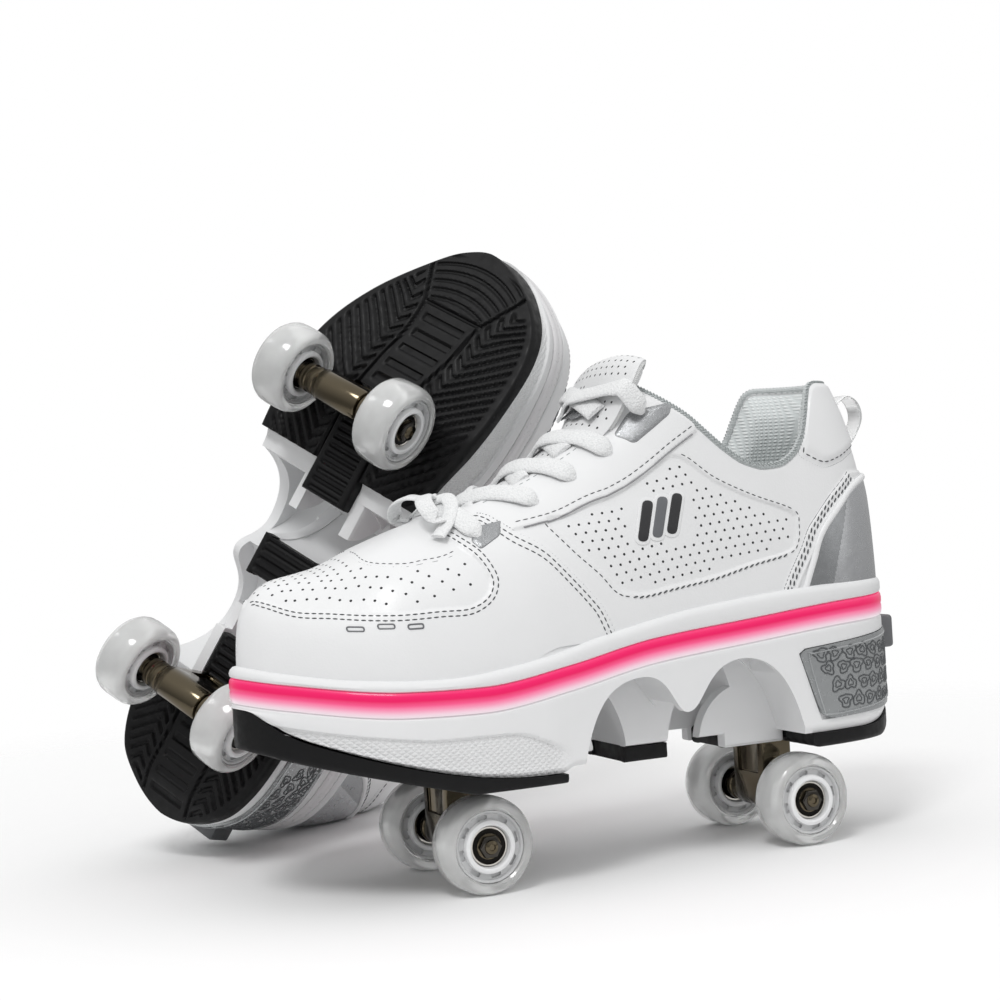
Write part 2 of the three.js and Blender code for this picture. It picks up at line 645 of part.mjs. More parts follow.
function skate(prefix, mirrored) {
  const group = new THREE.Group();
  const place = (name, manifold, material) => {
    group.add(toMesh(`${prefix}_${name}`, manifold, material, mirrored));
  };

  place('upper', upperShell(), LEATHER);
  place('tongue', shoeTongue(), FABRIC);
  place('laces', shoeLace(), FABRIC);
  place('insole', insole(), FABRIC);
  place('heel_counter', heelCounter(), SILVER);
  place('light_strip', lightStrip(), PINK_LIGHT);
  place('midsole', midsole(), WHITE);
  place('outsole_front', outsoleFront(), BLACK_RUBBER);
  place('outsole_middle', outsoleMiddle(), BLACK_RUBBER);
  place('outsole_rear', outsoleRear(), BLACK_RUBBER);
  place('heel_panel', heelPanel(), GREY_PANEL);
  place('release_button', releaseButton(), GREY_BUTTON);

  [FRONT, REAR].forEach((truck) => {
    place(`${truck.name}_leg`, truckLeg(truck), BRONZE);
    place(`${truck.name}_flip_pad`, flipPad(truck), BLACK_RUBBER);
    place(`${truck.name}_axle`, truckAxle(truck), STEEL);
    [['outer', -WHEEL_Y], ['inner', WHEEL_Y]].forEach(([side, y]) => {
      const x = axleX(truck);
      const wheel = `${truck.name}_${side}`;
      place(`${wheel}_tyre`, turned(TYRE_PROFILE, x, y, WHEEL_RADIUS), TYRE);
      place(`${wheel}_hub`, wheelHub(x, y), WHITE);
      place(`${wheel}_bearing`, turned(BEARING_PROFILE, x, y, WHEEL_RADIUS, 12), STEEL);
    });
  });
  return group;
}

const left = skate('left', false);
const right = skate('right', true);
right.position.set(...RIGHT_SKATE.position);
right.rotation.set(...RIGHT_SKATE.degrees.map(radians));

const pair = new THREE.Group();
pair.add(left, right);

// Precise bounds of everything, to set the pair's origin.
const bounds = new THREE.Box3().setFromObject(pair, true);
const origin = bounds.getCenter(new THREE.Vector3()).setZ(bounds.min.z);
left.position.sub(origin);
right.position.sub(origin);

export default pair;
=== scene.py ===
"""The looks of a pair of quad roller skates built into sneakers.

Each piece is drawn once, in the skate's own frame: millimetres, toe at -X, heel at +X, +Z up,
the ground at z = 0, the lateral side at -Y.  It is then placed for the left skate and, mirrored
in Y, for the right skate; the two frames come from the trucks' flip joints in the record.
"""

import json
import math

import bpy
import numpy as np
from mathutils import Matrix, Vector


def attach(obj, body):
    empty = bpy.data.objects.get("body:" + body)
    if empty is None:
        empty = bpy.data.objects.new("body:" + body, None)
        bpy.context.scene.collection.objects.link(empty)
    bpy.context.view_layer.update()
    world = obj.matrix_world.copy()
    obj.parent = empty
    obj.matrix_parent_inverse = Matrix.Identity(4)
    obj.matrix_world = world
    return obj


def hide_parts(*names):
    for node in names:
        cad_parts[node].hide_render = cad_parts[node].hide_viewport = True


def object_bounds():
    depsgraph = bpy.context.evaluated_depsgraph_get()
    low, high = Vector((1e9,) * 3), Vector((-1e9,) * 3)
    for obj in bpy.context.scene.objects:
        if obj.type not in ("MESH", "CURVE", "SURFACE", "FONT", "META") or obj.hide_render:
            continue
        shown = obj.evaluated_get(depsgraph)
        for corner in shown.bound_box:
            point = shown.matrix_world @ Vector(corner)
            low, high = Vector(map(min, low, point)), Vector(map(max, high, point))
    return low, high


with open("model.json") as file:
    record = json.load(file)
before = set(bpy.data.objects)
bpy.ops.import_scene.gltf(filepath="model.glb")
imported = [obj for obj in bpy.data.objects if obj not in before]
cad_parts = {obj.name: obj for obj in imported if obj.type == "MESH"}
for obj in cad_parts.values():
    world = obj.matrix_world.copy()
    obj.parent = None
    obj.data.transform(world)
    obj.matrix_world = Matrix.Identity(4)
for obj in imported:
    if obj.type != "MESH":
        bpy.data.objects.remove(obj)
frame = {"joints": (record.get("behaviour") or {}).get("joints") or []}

cad_low, cad_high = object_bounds()

MM = 0.001
SIDES = ("left", "right")
FLANKS = {"lateral": -1, "medial": 1}  # the sign of Y on each

# Trucks, in the skate's frame; X is measured from the middle between the axles.
FRONT_PIN_X, REAR_PIN_X, PIN_Z = -48.5, 58.0, 47.0
AXLE_X, AXLE_Z, WHEEL_Y = 76.0, 20.0, 31.0
WHEEL_RADIUS, COLLAR_RADIUS = 20.0, 6.75
PAD_HALF_WIDTH, PAD_HALF_THICK, LEG_HALF = 13.0, 4.0, 7.5
SWEEP_GAP = 1.0
WALK_Z, RUBBER_TOP = 43.0, 49.5


def skate_frame(side):
    """The skate's frame in the pair's frame: millimetres to metres, mirrored for the right."""
    joints = {j["name"]: j for j in frame["joints"]}
    front, rear = joints[side + "_front_flip"], joints[side + "_rear_flip"]
    pin = Vector(front["pos_m"])
    x = (Vector(rear["pos_m"]) - pin).normalized()
    y = -Vector(front["axis"]).normalized()
    z = x.cross(y)
    origin = pin - x * FRONT_PIN_X * MM - z * PIN_Z * MM
    if side == "right":
        y = -y
    m = np.eye(4)
    m[:3, 0], m[:3, 1], m[:3, 2] = np.array(x) * MM, np.array(y) * MM, np.array(z) * MM
    m[:3, 3] = origin
    return m


FRAMES = {side: skate_frame(side) for side in SIDES}


# ------------------------------------------------------------------ curves


def smooth(rows, x, column=1):
    """Monotone cubic interpolation in rows of (x, value, ...)."""
    t = np.array([r[0] for r in rows], float)
    v = np.array([r[column] for r in rows], float)
    x = np.clip(np.asarray(x, float), t[0], t[-1])
    h = np.diff(t)
    d = np.diff(v) / h
    m = np.zeros_like(v)
    same = d[:-1] * d[1:] > 0
    w1, w2 = 2 * h[1:] + h[:-1], h[1:] + 2 * h[:-1]
    safe0, safe1 = np.where(same, d[:-1], 1.0), np.where(same, d[1:], 1.0)
    m[1:-1] = np.where(same, (w1 + w2) / (w1 / safe0 + w2 / safe1), 0)
    m[0], m[-1] = d[0], d[-1]
    i = np.clip(np.searchsorted(t, x, side="right") - 1, 0, len(h) - 1)
    s = (x - t[i]) / h[i]
    return (
        v[i] * (1 + 2 * s) * (1 - s) ** 2
        + h[i] * m[i] * s * (1 - s) ** 2
        + v[i + 1] * s * s * (3 - 2 * s)
        + h[i] * m[i + 1] * s * s * (s - 1)
    )


def step(a, b, x):
    """0 below a, 1 above b, smooth between."""
    t = np.clip((np.asarray(x, float) - a) / (b - a), 0, 1)
    return t * t * (3 - 2 * t)


def spline(points, spacing, closed=False):
    """A Catmull-Rom curve through points, resampled at about the given spacing."""
    p = np.array(points, float)
    n = len(p)
    q = []
    count = n if closed else n - 1
    for i in range(count):
        if closed:
            a, b, c, d = p[i - 1], p[i], p[(i + 1) % n], p[(i + 2) % n]
        else:
            b, c = p[i], p[i + 1]
            a = p[i - 1] if i else 2 * b - c
            d = p[i + 2] if i + 2 < n else 2 * c - b
        t = np.linspace(0, 1, 24, endpoint=False)[:, None]
        q.append(
            0.5
            * (2 * b + (c - a) * t + (2 * a - 5 * b + 4 * c - d) * t**2
               + (3 * b - a - 3 * c + d) * t**3)
        )
    q.append((p[0] if closed else p[-1])[None])
    return resample(np.vstack(q), spacing)


def lengths(path):
    """The distance along a polyline at each of its points."""
    return np.concatenate([[0], np.cumsum(np.linalg.norm(np.diff(path, axis=0), axis=1))])


def rows_at(x, keys, rows):
    """Each column of rows, given at keys, interpolated at x."""
    return np.stack([np.interp(x, keys, column) for column in rows.T], -1)


def spread(path, count):
    """count points at even distances along a polyline."""
    length = lengths(path)
    return rows_at(np.linspace(0, length[-1], count), length, path)


def resample(path, spacing):
    """A polyline's points at about the given spacing."""
    return spread(path, max(2, int(round(lengths(path)[-1] / spacing)) + 1))


def unit(v):
    """Vectors scaled to length 1."""
    return v / np.maximum(np.linalg.norm(v, axis=-1, keepdims=True), 1e-12)


def inside_distance(polygon, px, py):
    """Signed distance to a closed polygon, positive inside."""
    poly = np.asarray(polygon, float)
    a, b = poly, np.roll(poly, -1, axis=0)
    best = np.full(px.shape, 1e9)
    inside = np.zeros(px.shape, bool)
    for (ax, ay), (bx, by) in zip(a, b):
        ex, ey = bx - ax, by - ay
        t = np.clip(((px - ax) * ex + (py - ay) * ey) / max(ex * ex + ey * ey, 1e-9), 0, 1)
        best = np.minimum(best, np.hypot(px - ax - t * ex, py - ay - t * ey))
        if ay != by:
            crosses = (ay > py) != (by > py)
            inside ^= crosses & (px < (bx - ax) * (py - ay) / (by - ay) + ax)
    return np.where(inside, best, -best)


# ---------------------------------------------------------------- mesh data


class Form:
    """Vertices, faces and per-face material numbers, in the skate's frame."""

    def __init__(self):
        self.v, self.f, self.m, self.s, self.n = [], [], [], [], 0

    def add(self, verts, faces, material=0, shade=0.0):
        verts = np.asarray(verts, float).reshape(-1, 3)
        self.v.append(verts)
        self.s.append(np.broadcast_to(np.asarray(shade, float), (len(verts),)).copy())
        self.f += [tuple(int(i) + self.n for i in face) for face in faces]
        self.m += [material] * len(faces)
        self.n += len(verts)
        return self

    def points(self):
        return np.vstack(self.v)


def grid_faces(rows, columns, close_rows=False, close_columns=False):
    i = np.arange(rows if close_rows else rows - 1)
    j = np.arange(columns if close_columns else columns - 1)
    i, j = np.meshgrid(i, j, indexing="ij")
    i2, j2 = (i + 1) % rows, (j + 1) % columns
    quads = np.stack([i * columns + j, i2 * columns + j, i2 * columns + j2, i * columns + j2], -1)
    return quads.reshape(-1, 4)


def ring_faces(rows, sides, closed=False):
    """Faces of rings joined in a row, capped at both ends unless the row is closed."""
    faces = list(map(tuple, grid_faces(rows, sides, closed, True)))
    if not closed:
        faces += [tuple(range(sides)), tuple(reversed(range((rows - 1) * sides, rows * sides)))]
    return faces


def slab(outer, inner, flip=False):
    """A closed sheet between two grids of points of the same size."""
    n, m = outer.shape[:2]
    quads = grid_faces(n, m)
    faces = [tuple(f) for f in quads] + [tuple(f + n * m) for f in quads[:, ::-1]]
    border = ([i * m for i in range(n)] + [(n - 1) * m + j for j in range(1, m)]
              + [i * m + m - 1 for i in range(n - 2, -1, -1)] + list(range(m - 2, 0, -1)))
    for a, b in zip(border, border[1:] + border[:1]):
        faces.append((a, a + n * m, b + n * m, b))
    verts = np.vstack([outer.reshape(-1, 3), inner.reshape(-1, 3)])
    return verts, [f[::-1] for f in faces] if flip else faces


def tube(path, radius, sides=8, closed=False, squash=(1, 1), up=None):
    """A round or oval cord along a path; radius may vary along it."""
    path = np.asarray(path, float)
    n = len(path)
    if closed:
        tangent = unit(np.roll(path, -1, 0) - np.roll(path, 1, 0))
    else:
        tangent = unit(np.gradient(path, axis=0))
    if up is None:
        ref = np.array([0.0, 0.0, 1.0])
        if abs(tangent[:, 2]).max() > 0.95:
            ref = np.array([0.3, 1.0, 0.1])
        up = np.broadcast_to(ref, path.shape)
    side = unit(np.cross(tangent, up))
    top = np.cross(side, tangent)
    radius = np.broadcast_to(np.asarray(radius, float), (n,))
    angle = np.linspace(0, 2 * math.pi, sides, endpoint=False)
    ring = (
        np.cos(angle)[None, :, None] * side[:, None] * squash[0]
        + np.sin(angle)[None, :, None] * top[:, None] * squash[1]
    )
    verts = path[:, None] + ring * radius[:, None, None]
    return verts.reshape(-1, 3), [f[::-1] for f in ring_faces(n, sides, closed)]


STRAP_SIDES = 14


def strap(path, normal, width, thickness, crown=0.0):
    """A flat band along a path, with rounded edges; normal points out of its face."""
    path, normal = np.asarray(path, float), unit(np.asarray(normal, float))
    n = len(path)
    tangent = unit(np.gradient(path, axis=0))
    side = unit(np.cross(tangent, normal))
    normal = np.cross(side, tangent)
    half = np.broadcast_to(np.asarray(width, float) / 2, (n,))
    a = np.linspace(0, 2 * math.pi, STRAP_SIDES, endpoint=False)
    c, s = np.cos(a), np.sin(a)
    u = np.sign(c) * np.abs(c) ** 0.35
    w = np.sign(s) * np.abs(s) ** 0.9
    bulge = crown * (1 - u**2)
    verts = (
        path[:, None]
        + side[:, None] * (u[None, :] * half[:, None])[..., None]
        + normal[:, None] * ((w * thickness / 2 + bulge)[None, :, None])
    )
    return verts.reshape(-1, 3), [f[::-1] for f in ring_faces(n, STRAP_SIDES)]


def mirrored(half):
    """A closed (radius, y) profile from its half at positive y."""
    return half + [(r, -y) for r, y in reversed(half) if y]


def lathe(profile, segments=64, at=(0, 0, 0)):
    """A ring about Y through a point, from a closed (radius, y) profile."""
    p = np.asarray(profile, float)
    angle = np.linspace(0, 2 * math.pi, segments, endpoint=False)
    verts = np.stack(
        [
            p[None, :, 0] * np.sin(angle)[:, None],
            np.broadcast_to(p[None, :, 1], (segments, len(p))),
            p[None, :, 0] * np.cos(angle)[:, None],
        ],
        -1,
    )
    return verts.reshape(-1, 3) + at, list(map(tuple, grid_faces(segments, len(p), True, True)))


def rounded(corners, radius, steps=4):
    """A closed polygon with its corners rounded; radius may be a list."""
    p = np.asarray(corners, float)
    radii = np.broadcast_to(np.asarray(radius, float), (len(p),))
    out = []
    for i, corner in enumerate(p):
        before, after = p[i - 1] - corner, p[(i + 1) % len(p)] - corner
        la, lb = np.linalg.norm(before), np.linalg.norm(after)
        r = min(radii[i], 0.45 * la, 0.45 * lb)
        if r < 1e-6:
            out.append(corner)
            continue
        a, b = corner + before / la * r, corner + after / lb * r
        for t in np.linspace(0, 1, steps + 1):
            out.append((1 - t) ** 2 * a + 2 * t * (1 - t) * corner + t * t * b)
    return np.array(out)


def prism(polygon, low, high, bevel=0.0):
    """An (x, z) polygon extruded along Y, its rims optionally bevelled."""
    p = np.asarray(polygon, float)
    if np.sum(p[:, 0] * np.roll(p[:, 1], -1) - np.roll(p[:, 0], -1) * p[:, 1]) < 0:
        p = p[::-1]
    levels = [(low, p), (high, p)]
    if bevel:
        t = unit(np.roll(p, -1, 0) - np.roll(p, 1, 0))
        inward = np.stack([-t[:, 1], t[:, 0]], 1) * bevel
        k = 0.3 * bevel
        levels = [(low, p + inward), (low + k, p + inward * 0.3), (low + bevel, p),
                  (high - bevel, p), (high - k, p + inward * 0.3), (high, p + inward)]
    rings = [np.stack([q[:, 0], np.full(len(q), float(level)), q[:, 1]], 1) for level, q in levels]
    return np.vstack(rings), ring_faces(len(rings), len(p))


def add_object(name, data):
    """A new object in the scene."""
    thing = bpy.data.objects.new(name, data)
    bpy.context.scene.collection.objects.link(thing)
    return thing


def to_mesh(name, form):
    mesh = bpy.data.meshes.new(name)
    mesh.from_pydata(form.points().tolist(), [], form.f)
    mesh.update()
    return mesh


def boolean(form, operations):
    """form joined with or cut by other forms, one after another."""
    base = add_object("scratch", to_mesh("scratch", form))
    extra = [base]
    for operation, other in operations:
        tool = add_object("tool", to_mesh("tool", other))
        extra.append(tool)
        modifier = base.modifiers.new("cut", "BOOLEAN")
        modifier.operation, modifier.object = operation, tool
        modifier.solver = "MANIFOLD"
    evaluated = base.evaluated_get(bpy.context.evaluated_depsgraph_get())
    mesh = bpy.data.meshes.new_from_object(evaluated)
    verts = np.array([v.co for v in mesh.vertices], float)
    faces = [tuple(p.vertices) for p in mesh.polygons]
    bpy.data.meshes.remove(mesh)
    for o in extra:
        data = o.data
        bpy.data.objects.remove(o)
        bpy.data.meshes.remove(data)
    return Form().add(verts, faces)


def cuts(forms):
    """Forms as cutting operations."""
    return [("DIFFERENCE", form) for form in forms]


SETTLE = 0.5 * MM  # how gradually a shoe flattens where it meets the floor


def settled(height):
    """Heights of a shoe's points, flattened smoothly where the shoe lies on the floor."""
    return cad_low.z + SETTLE * np.logaddexp(0, (height - cad_low.z) / SETTLE)


def emit(name, form, body, materials, replaces=(), sides=SIDES, angle=40):
    """Places a form on the skates and sets its body, material slot, finishes and CAD nodes."""
    local = form.points()
    shade = np.concatenate(form.s)
    for side in sides:
        m = FRAMES[side]
        mesh = bpy.data.meshes.new(f"{side}_{name}")
        world = local @ m[:3, :3].T + m[:3, 3]
        if body == "shoe":
            world[:, 2] = settled(world[:, 2])
        faces = form.f if side == "left" else [f[::-1] for f in form.f]
        mesh.from_pydata(world.tolist(), [], faces)
        place = mesh.attributes.new("place", "FLOAT_VECTOR", "POINT")
        place.data.foreach_set("vector", local.ravel().astype(np.float32))
        tone = mesh.attributes.new("shade", "FLOAT", "POINT")
        tone.data.foreach_set("value", shade.astype(np.float32))
        for material in materials:
            mesh.materials.append(material)
        mesh.polygons.foreach_set("material_index", np.array(form.m, np.int32))
        mesh.polygons.foreach_set("use_smooth", np.ones(len(form.f), bool))
        mesh.set_sharp_from_angle(angle=math.radians(angle))
        mesh.update()
        piece = add_object(f"{side}_look_{name}", mesh)
        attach(piece, f"{side}_{body}")
        if replaces:
            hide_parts(*[f"{side}_{node}" for node in replaces])


# --------------------------------------------------------------- materials


class Finish:
    """A node-based material whose textures follow the skate's own millimetres."""

    def __init__(self, name, color, rough=0.5, metal=0.0, **inputs):
        self.material = bpy.data.materials.new(name)
        self.material.use_nodes = True
        self.tree = self.material.node_tree
        self.shader = self.tree.nodes["Principled BSDF"]
        self.place = self.new("ShaderNodeAttribute", attribute_name="place").outputs["Vector"]
        self.shade = self.new("ShaderNodeAttribute", attribute_name="shade").outputs["Fac"]
        self.set("Base Color", (*color, 1) if isinstance(color, tuple) else color)
        self.set("Roughness", rough)
        self.set("Metallic", metal)
        self.color = color
        for key, value in inputs.items():
            self.set(key.replace("_", " "), value)

    def put(self, socket, value):
        if isinstance(value, bpy.types.NodeSocket):
            self.tree.links.new(value, socket)
        elif isinstance(value, tuple) and len(value) == 3 and socket.type == "RGBA":
            socket.default_value = (*value, 1)
        else:
            socket.default_value = value

    def set(self, name, value):
        self.put(self.shader.inputs[name], value)

    def new(self, kind, inputs=None, **settings):
        node = self.tree.nodes.new(kind)
        for key, value in settings.items():
            setattr(node, key, value)
        for key, value in (inputs or {}).items():
            self.put(node.inputs[key], value)
        return node

    def scaled(self, factors):
        return self.new(
            "ShaderNodeVectorMath", {0: self.place, 1: factors}, operation="MULTIPLY"
        ).outputs[0]

    def noise(self, scale, detail=3.0, vector=None):
        inputs = {"Vector": vector or self.place, "Scale": scale, "Detail": detail}
        return self.new("ShaderNodeTexNoise", inputs).outputs["Fac"]

    def cells(self, scale):
        inputs = {"Vector": self.place, "Scale": scale}
        return self.new("ShaderNodeTexVoronoi", inputs).outputs["Distance"]

    def waves(self, scale, direction, distortion):
        inputs = {"Vector": self.place, "Scale": scale, "Distortion": distortion}
        return self.new("ShaderNodeTexWave", inputs, bands_direction=direction).outputs["Fac"]

    def math(self, operation, a, b):
        return self.new("ShaderNodeMath", {0: a, 1: b}, operation=operation).outputs[0]

    def map(self, value, low, high, to_low, to_high):
        inputs = {"Value": value, "From Min": low, "From Max": high, "To Min": to_low,
                  "To Max": to_high}
        return self.new("ShaderNodeMapRange", inputs).outputs["Result"]

    def mix(self, factor, a, b):
        node = self.new("ShaderNodeMix", data_type="RGBA")
        self.put(node.inputs[0], factor)
        self.put(node.inputs[6], a)
        self.put(node.inputs[7], b)
        return node.outputs[2]

    def bump(self, height, depth_mm, strength=1.0, under=None):
        inputs = {"Height": height, "Distance": depth_mm * MM, "Strength": strength}
        node = self.new("ShaderNodeBump", inputs)
        if under is not None:
            self.tree.links.new(under, node.inputs["Normal"])
        self.tree.links.new(node.outputs["Normal"], self.shader.inputs["Normal"])
        return node.outputs["Normal"]

    def varied(self, scale, amount):
        """The base colour, lightly mottled."""
        r, g, b = self.color
        low, high = (r * (1 - amount), g * (1 - amount), b * (1 - amount)), (r, g, b)
        self.set("Base Color", self.mix(self.noise(scale), low, high))

    def rough_between(self, scale, low, high):
        self.set("Roughness", self.map(self.noise(scale), 0.3, 0.7, low, high))


WHITE_SKIN = (0.84, 0.845, 0.85)
WAVES_PER_MM = 0.314  # a wave texture at this scale repeats every millimetre


def leather_finish(name, color, rough=0.4):
    f = Finish(name, color, rough, Coat_Weight=0.12, Coat_Roughness=0.25)
    f.varied(0.05, 0.03)
    f.rough_between(0.4, rough - 0.06, rough + 0.08)
    creases = f.bump(f.noise(0.045, 2.0), 0.5, 0.5)
    f.bump(f.cells(1.1), 0.05, 0.5, creases)
    return f.material


def fabric_finish(name, color, pitch, depth, rough=0.85):
    f = Finish(name, color, rough, Sheen_Weight=0.25)
    f.varied(0.3, 0.08)
    across, along = (f.waves(WAVES_PER_MM / pitch, axis, 0.6) for axis in "XZ")
    f.bump(f.math("MULTIPLY", across, along), depth, 0.8)
    return f.material


def lining_finish():
    """Pale spacer mesh: ribs with a waffle between them, its hollows painted darker as shade."""
    f = Finish("lining_mesh", (0.75, 0.78, 0.78), 0.9, Sheen_Weight=0.3)
    ribs = f.waves(0.16, "X", 0.4)
    rows = f.waves(0.2, "Z", 0.3)
    mesh = f.math("MULTIPLY", ribs, rows)
    # Painted shade: the colour is darker where the mesh sinks.
    f.set("Base Color", f.mix(mesh, (0.72, 0.755, 0.755), (0.9, 0.92, 0.915)))
    f.bump(mesh, 0.5, 0.8)
    return f.material


def lace_finish():
    """A woven lace."""
    f = Finish("lace_weave", (0.84, 0.845, 0.84), 0.75, Sheen_Weight=0.3)
    weave = f.cells(1.15)
    f.set("Base Color", f.mix(weave, (0.93, 0.935, 0.935), (0.76, 0.77, 0.775)))
    f.bump(weave, 0.4, 0.9)
    return f.material


def plain_finish(name, color, rough, depth=0.04, scale=1.4, metal=0.0, mottle=0.04, **inputs):
    f = Finish(name, color, rough, metal, **inputs)
    f.varied(0.12, mottle)
    f.rough_between(0.5, rough * 0.85, min(1.0, rough * 1.2))
    f.bump(f.noise(scale, 4.0), depth, 0.5)
    return f.material


def foam_finish():
    """White moulded foam: fine grain, and a diamond grid below the wave line."""
    f = Finish("midsole_foam", (0.8, 0.805, 0.81), 0.5)
    f.varied(0.08, 0.03)
    split = f.new("ShaderNodeSeparateXYZ", {0: f.place})
    x, z = split.outputs[0], split.outputs[2]
    first = f.math("PINGPONG", f.math("ADD", x, f.math("MULTIPLY", z, 1.3)), 1.5)
    second = f.math("PINGPONG", f.math("SUBTRACT", x, f.math("MULTIPLY", z, 1.3)), 1.5)
    diamonds = f.math("MULTIPLY", f.math("MINIMUM", first, second), f.shade)
    grain = f.bump(f.noise(2.2, 3.0), 0.09, 0.5)
    f.bump(diamonds, 0.3, 0.9, grain)
    return f.material


def strip_finish():
    """The lit light guide: saturated pink at its upper half, fading to white below."""
    f = Finish("light_guide", (1.0, 0.25, 0.5), 0.3, Coat_Weight=0.3)
    ramp = f.new("ShaderNodeValToRGB", {"Fac": f.shade})
    e = ramp.color_ramp.elements
    stops = [(0.0, (0.9, 0.84, 0.87)), (0.14, (0.93, 0.66, 0.76)), (0.32, (0.95, 0.33, 0.5)),
             (0.5, (0.95, 0.1, 0.27)), (0.68, (0.86, 0.015, 0.13)), (0.86, (0.9, 0.01, 0.14)),
             (1.0, (0.95, 0.06, 0.22))]
    e[0].position, e[0].color = stops[0][0], (*stops[0][1], 1)
    e[1].position, e[1].color = stops[-1][0], (*stops[-1][1], 1)
    for position, color in stops[1:-1]:
        e.new(position).color = (*color, 1)
    f.set("Base Color", f.mix(0.55, ramp.outputs["Color"], (0.0, 0.0, 0.0)))
    f.set("Emission Color", ramp.outputs["Color"])
    f.set("Emission Strength", 0.58)
    f.set("Specular IOR Level", 0.2)
    f.bump(f.noise(0.3), 0.1, 0.4)
    return f.material


def rubber_finish():
    """Matt black rubber with a fine grain."""
    f = Finish("tread_rubber", (0.0045, 0.0045, 0.005), 0.55, Specular_IOR_Level=0.22)
    f.varied(0.1, 0.3)
    f.rough_between(0.25, 0.38, 0.6)
    f.bump(f.noise(3.0, 4.0), 0.06, 0.6)
    return f.material


def tyre_finish():
    """Milky translucent polyurethane."""
    f = Finish("tyre_urethane", (0.97, 0.975, 0.97), 0.1, Transmission_Weight=0.7, IOR=1.38,
               Coat_Weight=0.6, Coat_Roughness=0.03)
    f.set("Transmission Weight", f.map(f.noise(0.05), 0.35, 0.65, 0.6, 0.66))
    f.rough_between(0.2, 0.06, 0.14)
    f.bump(f.noise(0.3), 0.02, 0.3)
    return f.material


def metal_finish(name, color, rough, brushed=0.004):
    f = Finish(name, color, rough, 1.0)
    f.varied(0.25, 0.08)
    f.rough_between(0.6, rough * 0.8, rough * 1.25)
    f.bump(f.noise(1.0, 5.0, f.scaled((3.0, 0.2, 3.0))), brushed, 0.5)
    return f.material


def silver_finish(name, color, sparkle=0.0):
    f = Finish(name, color, 0.24, 0.9)
    f.varied(0.06, 0.12)
    f.rough_between(0.3, 0.18, 0.3)
    if sparkle:
        f.set("Metallic", 0.45)
        f.set("Roughness", 0.5)
        glitter = f.cells(3.2)
        f.set("Base Color", f.mix(glitter, (0.16, 0.165, 0.17), (0.5, 0.51, 0.52)))
        f.bump(glitter, sparkle, 1.0)
    else:
        f.bump(f.noise(0.25, 4.0), 0.12, 0.4)
    return f.material


LEATHER = leather_finish("leather_white", WHITE_SKIN)
LEATHER_PANEL = leather_finish("leather_panel", (0.8, 0.805, 0.81), 0.46)
# Painted shadow: the grey of the thin cords along the overlays' cut edges.
EDGE_SHADOW = plain_finish("painted_edge_shadow", (0.3, 0.3, 0.31), 0.8)
# Painted shade: near-black standing for the shade inside punched holes.
HOLE_SHADE = plain_finish("hole_painted_shade", (0.03, 0.03, 0.032), 0.9)
# Dark thread; its near-black colour is partly real thread and partly painted shade of the needle holes.
THREAD_AND_HOLE_SHADE = fabric_finish("thread_dark_and_hole_shade", (0.075, 0.08, 0.085), 0.5, 0.1)
THREAD_PALE = fabric_finish("thread_pale", (0.42, 0.45, 0.45), 0.5, 0.1)
BINDING = fabric_finish("binding_overlock", (0.58, 0.61, 0.61), 0.8, 0.3)
LINING = lining_finish()
FABRIC = fabric_finish("tongue_edge_fabric", (0.74, 0.75, 0.745), 0.9, 0.2)
LACE = lace_finish()
FOAM = foam_finish()
LIGHT = strip_finish()
LIGHT_OFF = plain_finish("light_guide_off", (0.78, 0.77, 0.78), 0.3, 0.05, Coat_Weight=0.3)
RUBBER = rubber_finish()
TYRE = tyre_finish()
HUB = plain_finish("hub_nylon", (0.82, 0.825, 0.83), 0.32, 0.03, mottle=0.03, Coat_Weight=0.2)
HUB_CORE = plain_finish("hub_core", (0.55, 0.555, 0.56), 0.25, 0.03, Coat_Weight=0.4)
STEEL = metal_finish("plated_steel", (0.62, 0.6, 0.56), 0.16)
DARK_STEEL = metal_finish("shield_steel", (0.015, 0.014, 0.013), 0.3)
NUT_STEEL = metal_finish("nut_steel", (0.07, 0.065, 0.058), 0.12)
BRONZE = metal_finish("gunmetal_bronze", (0.12, 0.1, 0.068), 0.13)
SILVER = silver_finish("silver_foil", (0.62, 0.63, 0.645))
SILVER_DARK = silver_finish("silver_foil_dark", (0.4, 0.41, 0.42))
GLITTER = silver_finish("silver_glitter", (0.6, 0.61, 0.62), 0.05)
PANEL = plain_finish("panel_grey", (0.42, 0.435, 0.44), 0.24, 0.006, metal=0.6, Coat_Weight=0.4)
BUTTON = plain_finish("button_grey", (0.15, 0.153, 0.16), 0.5, 0.06)
CLEAR = plain_finish("loop_clear", (0.9, 0.91, 0.91), 0.18, 0.08, Transmission_Weight=0.75, IOR=1.45)
MARK_DARK = plain_finish("mark_dark", (0.025, 0.025, 0.027), 0.4)
# Grey for the badge's print and the vents; also the thin cords of painted shadow along some overlay
# edges.
MARK_GREY_AND_EDGE_SHADOW = plain_finish("mark_grey_and_edge_shadow", (0.14, 0.145, 0.155), 0.4)
MARK_PALE = plain_finish("mark_pale", (0.85, 0.855, 0.86), 0.35)


# ------------------------------------------------------------ sole outline
# SOLE_PLAN is (x, y) round the sole; the other rows are (x, z) from toe to heel.

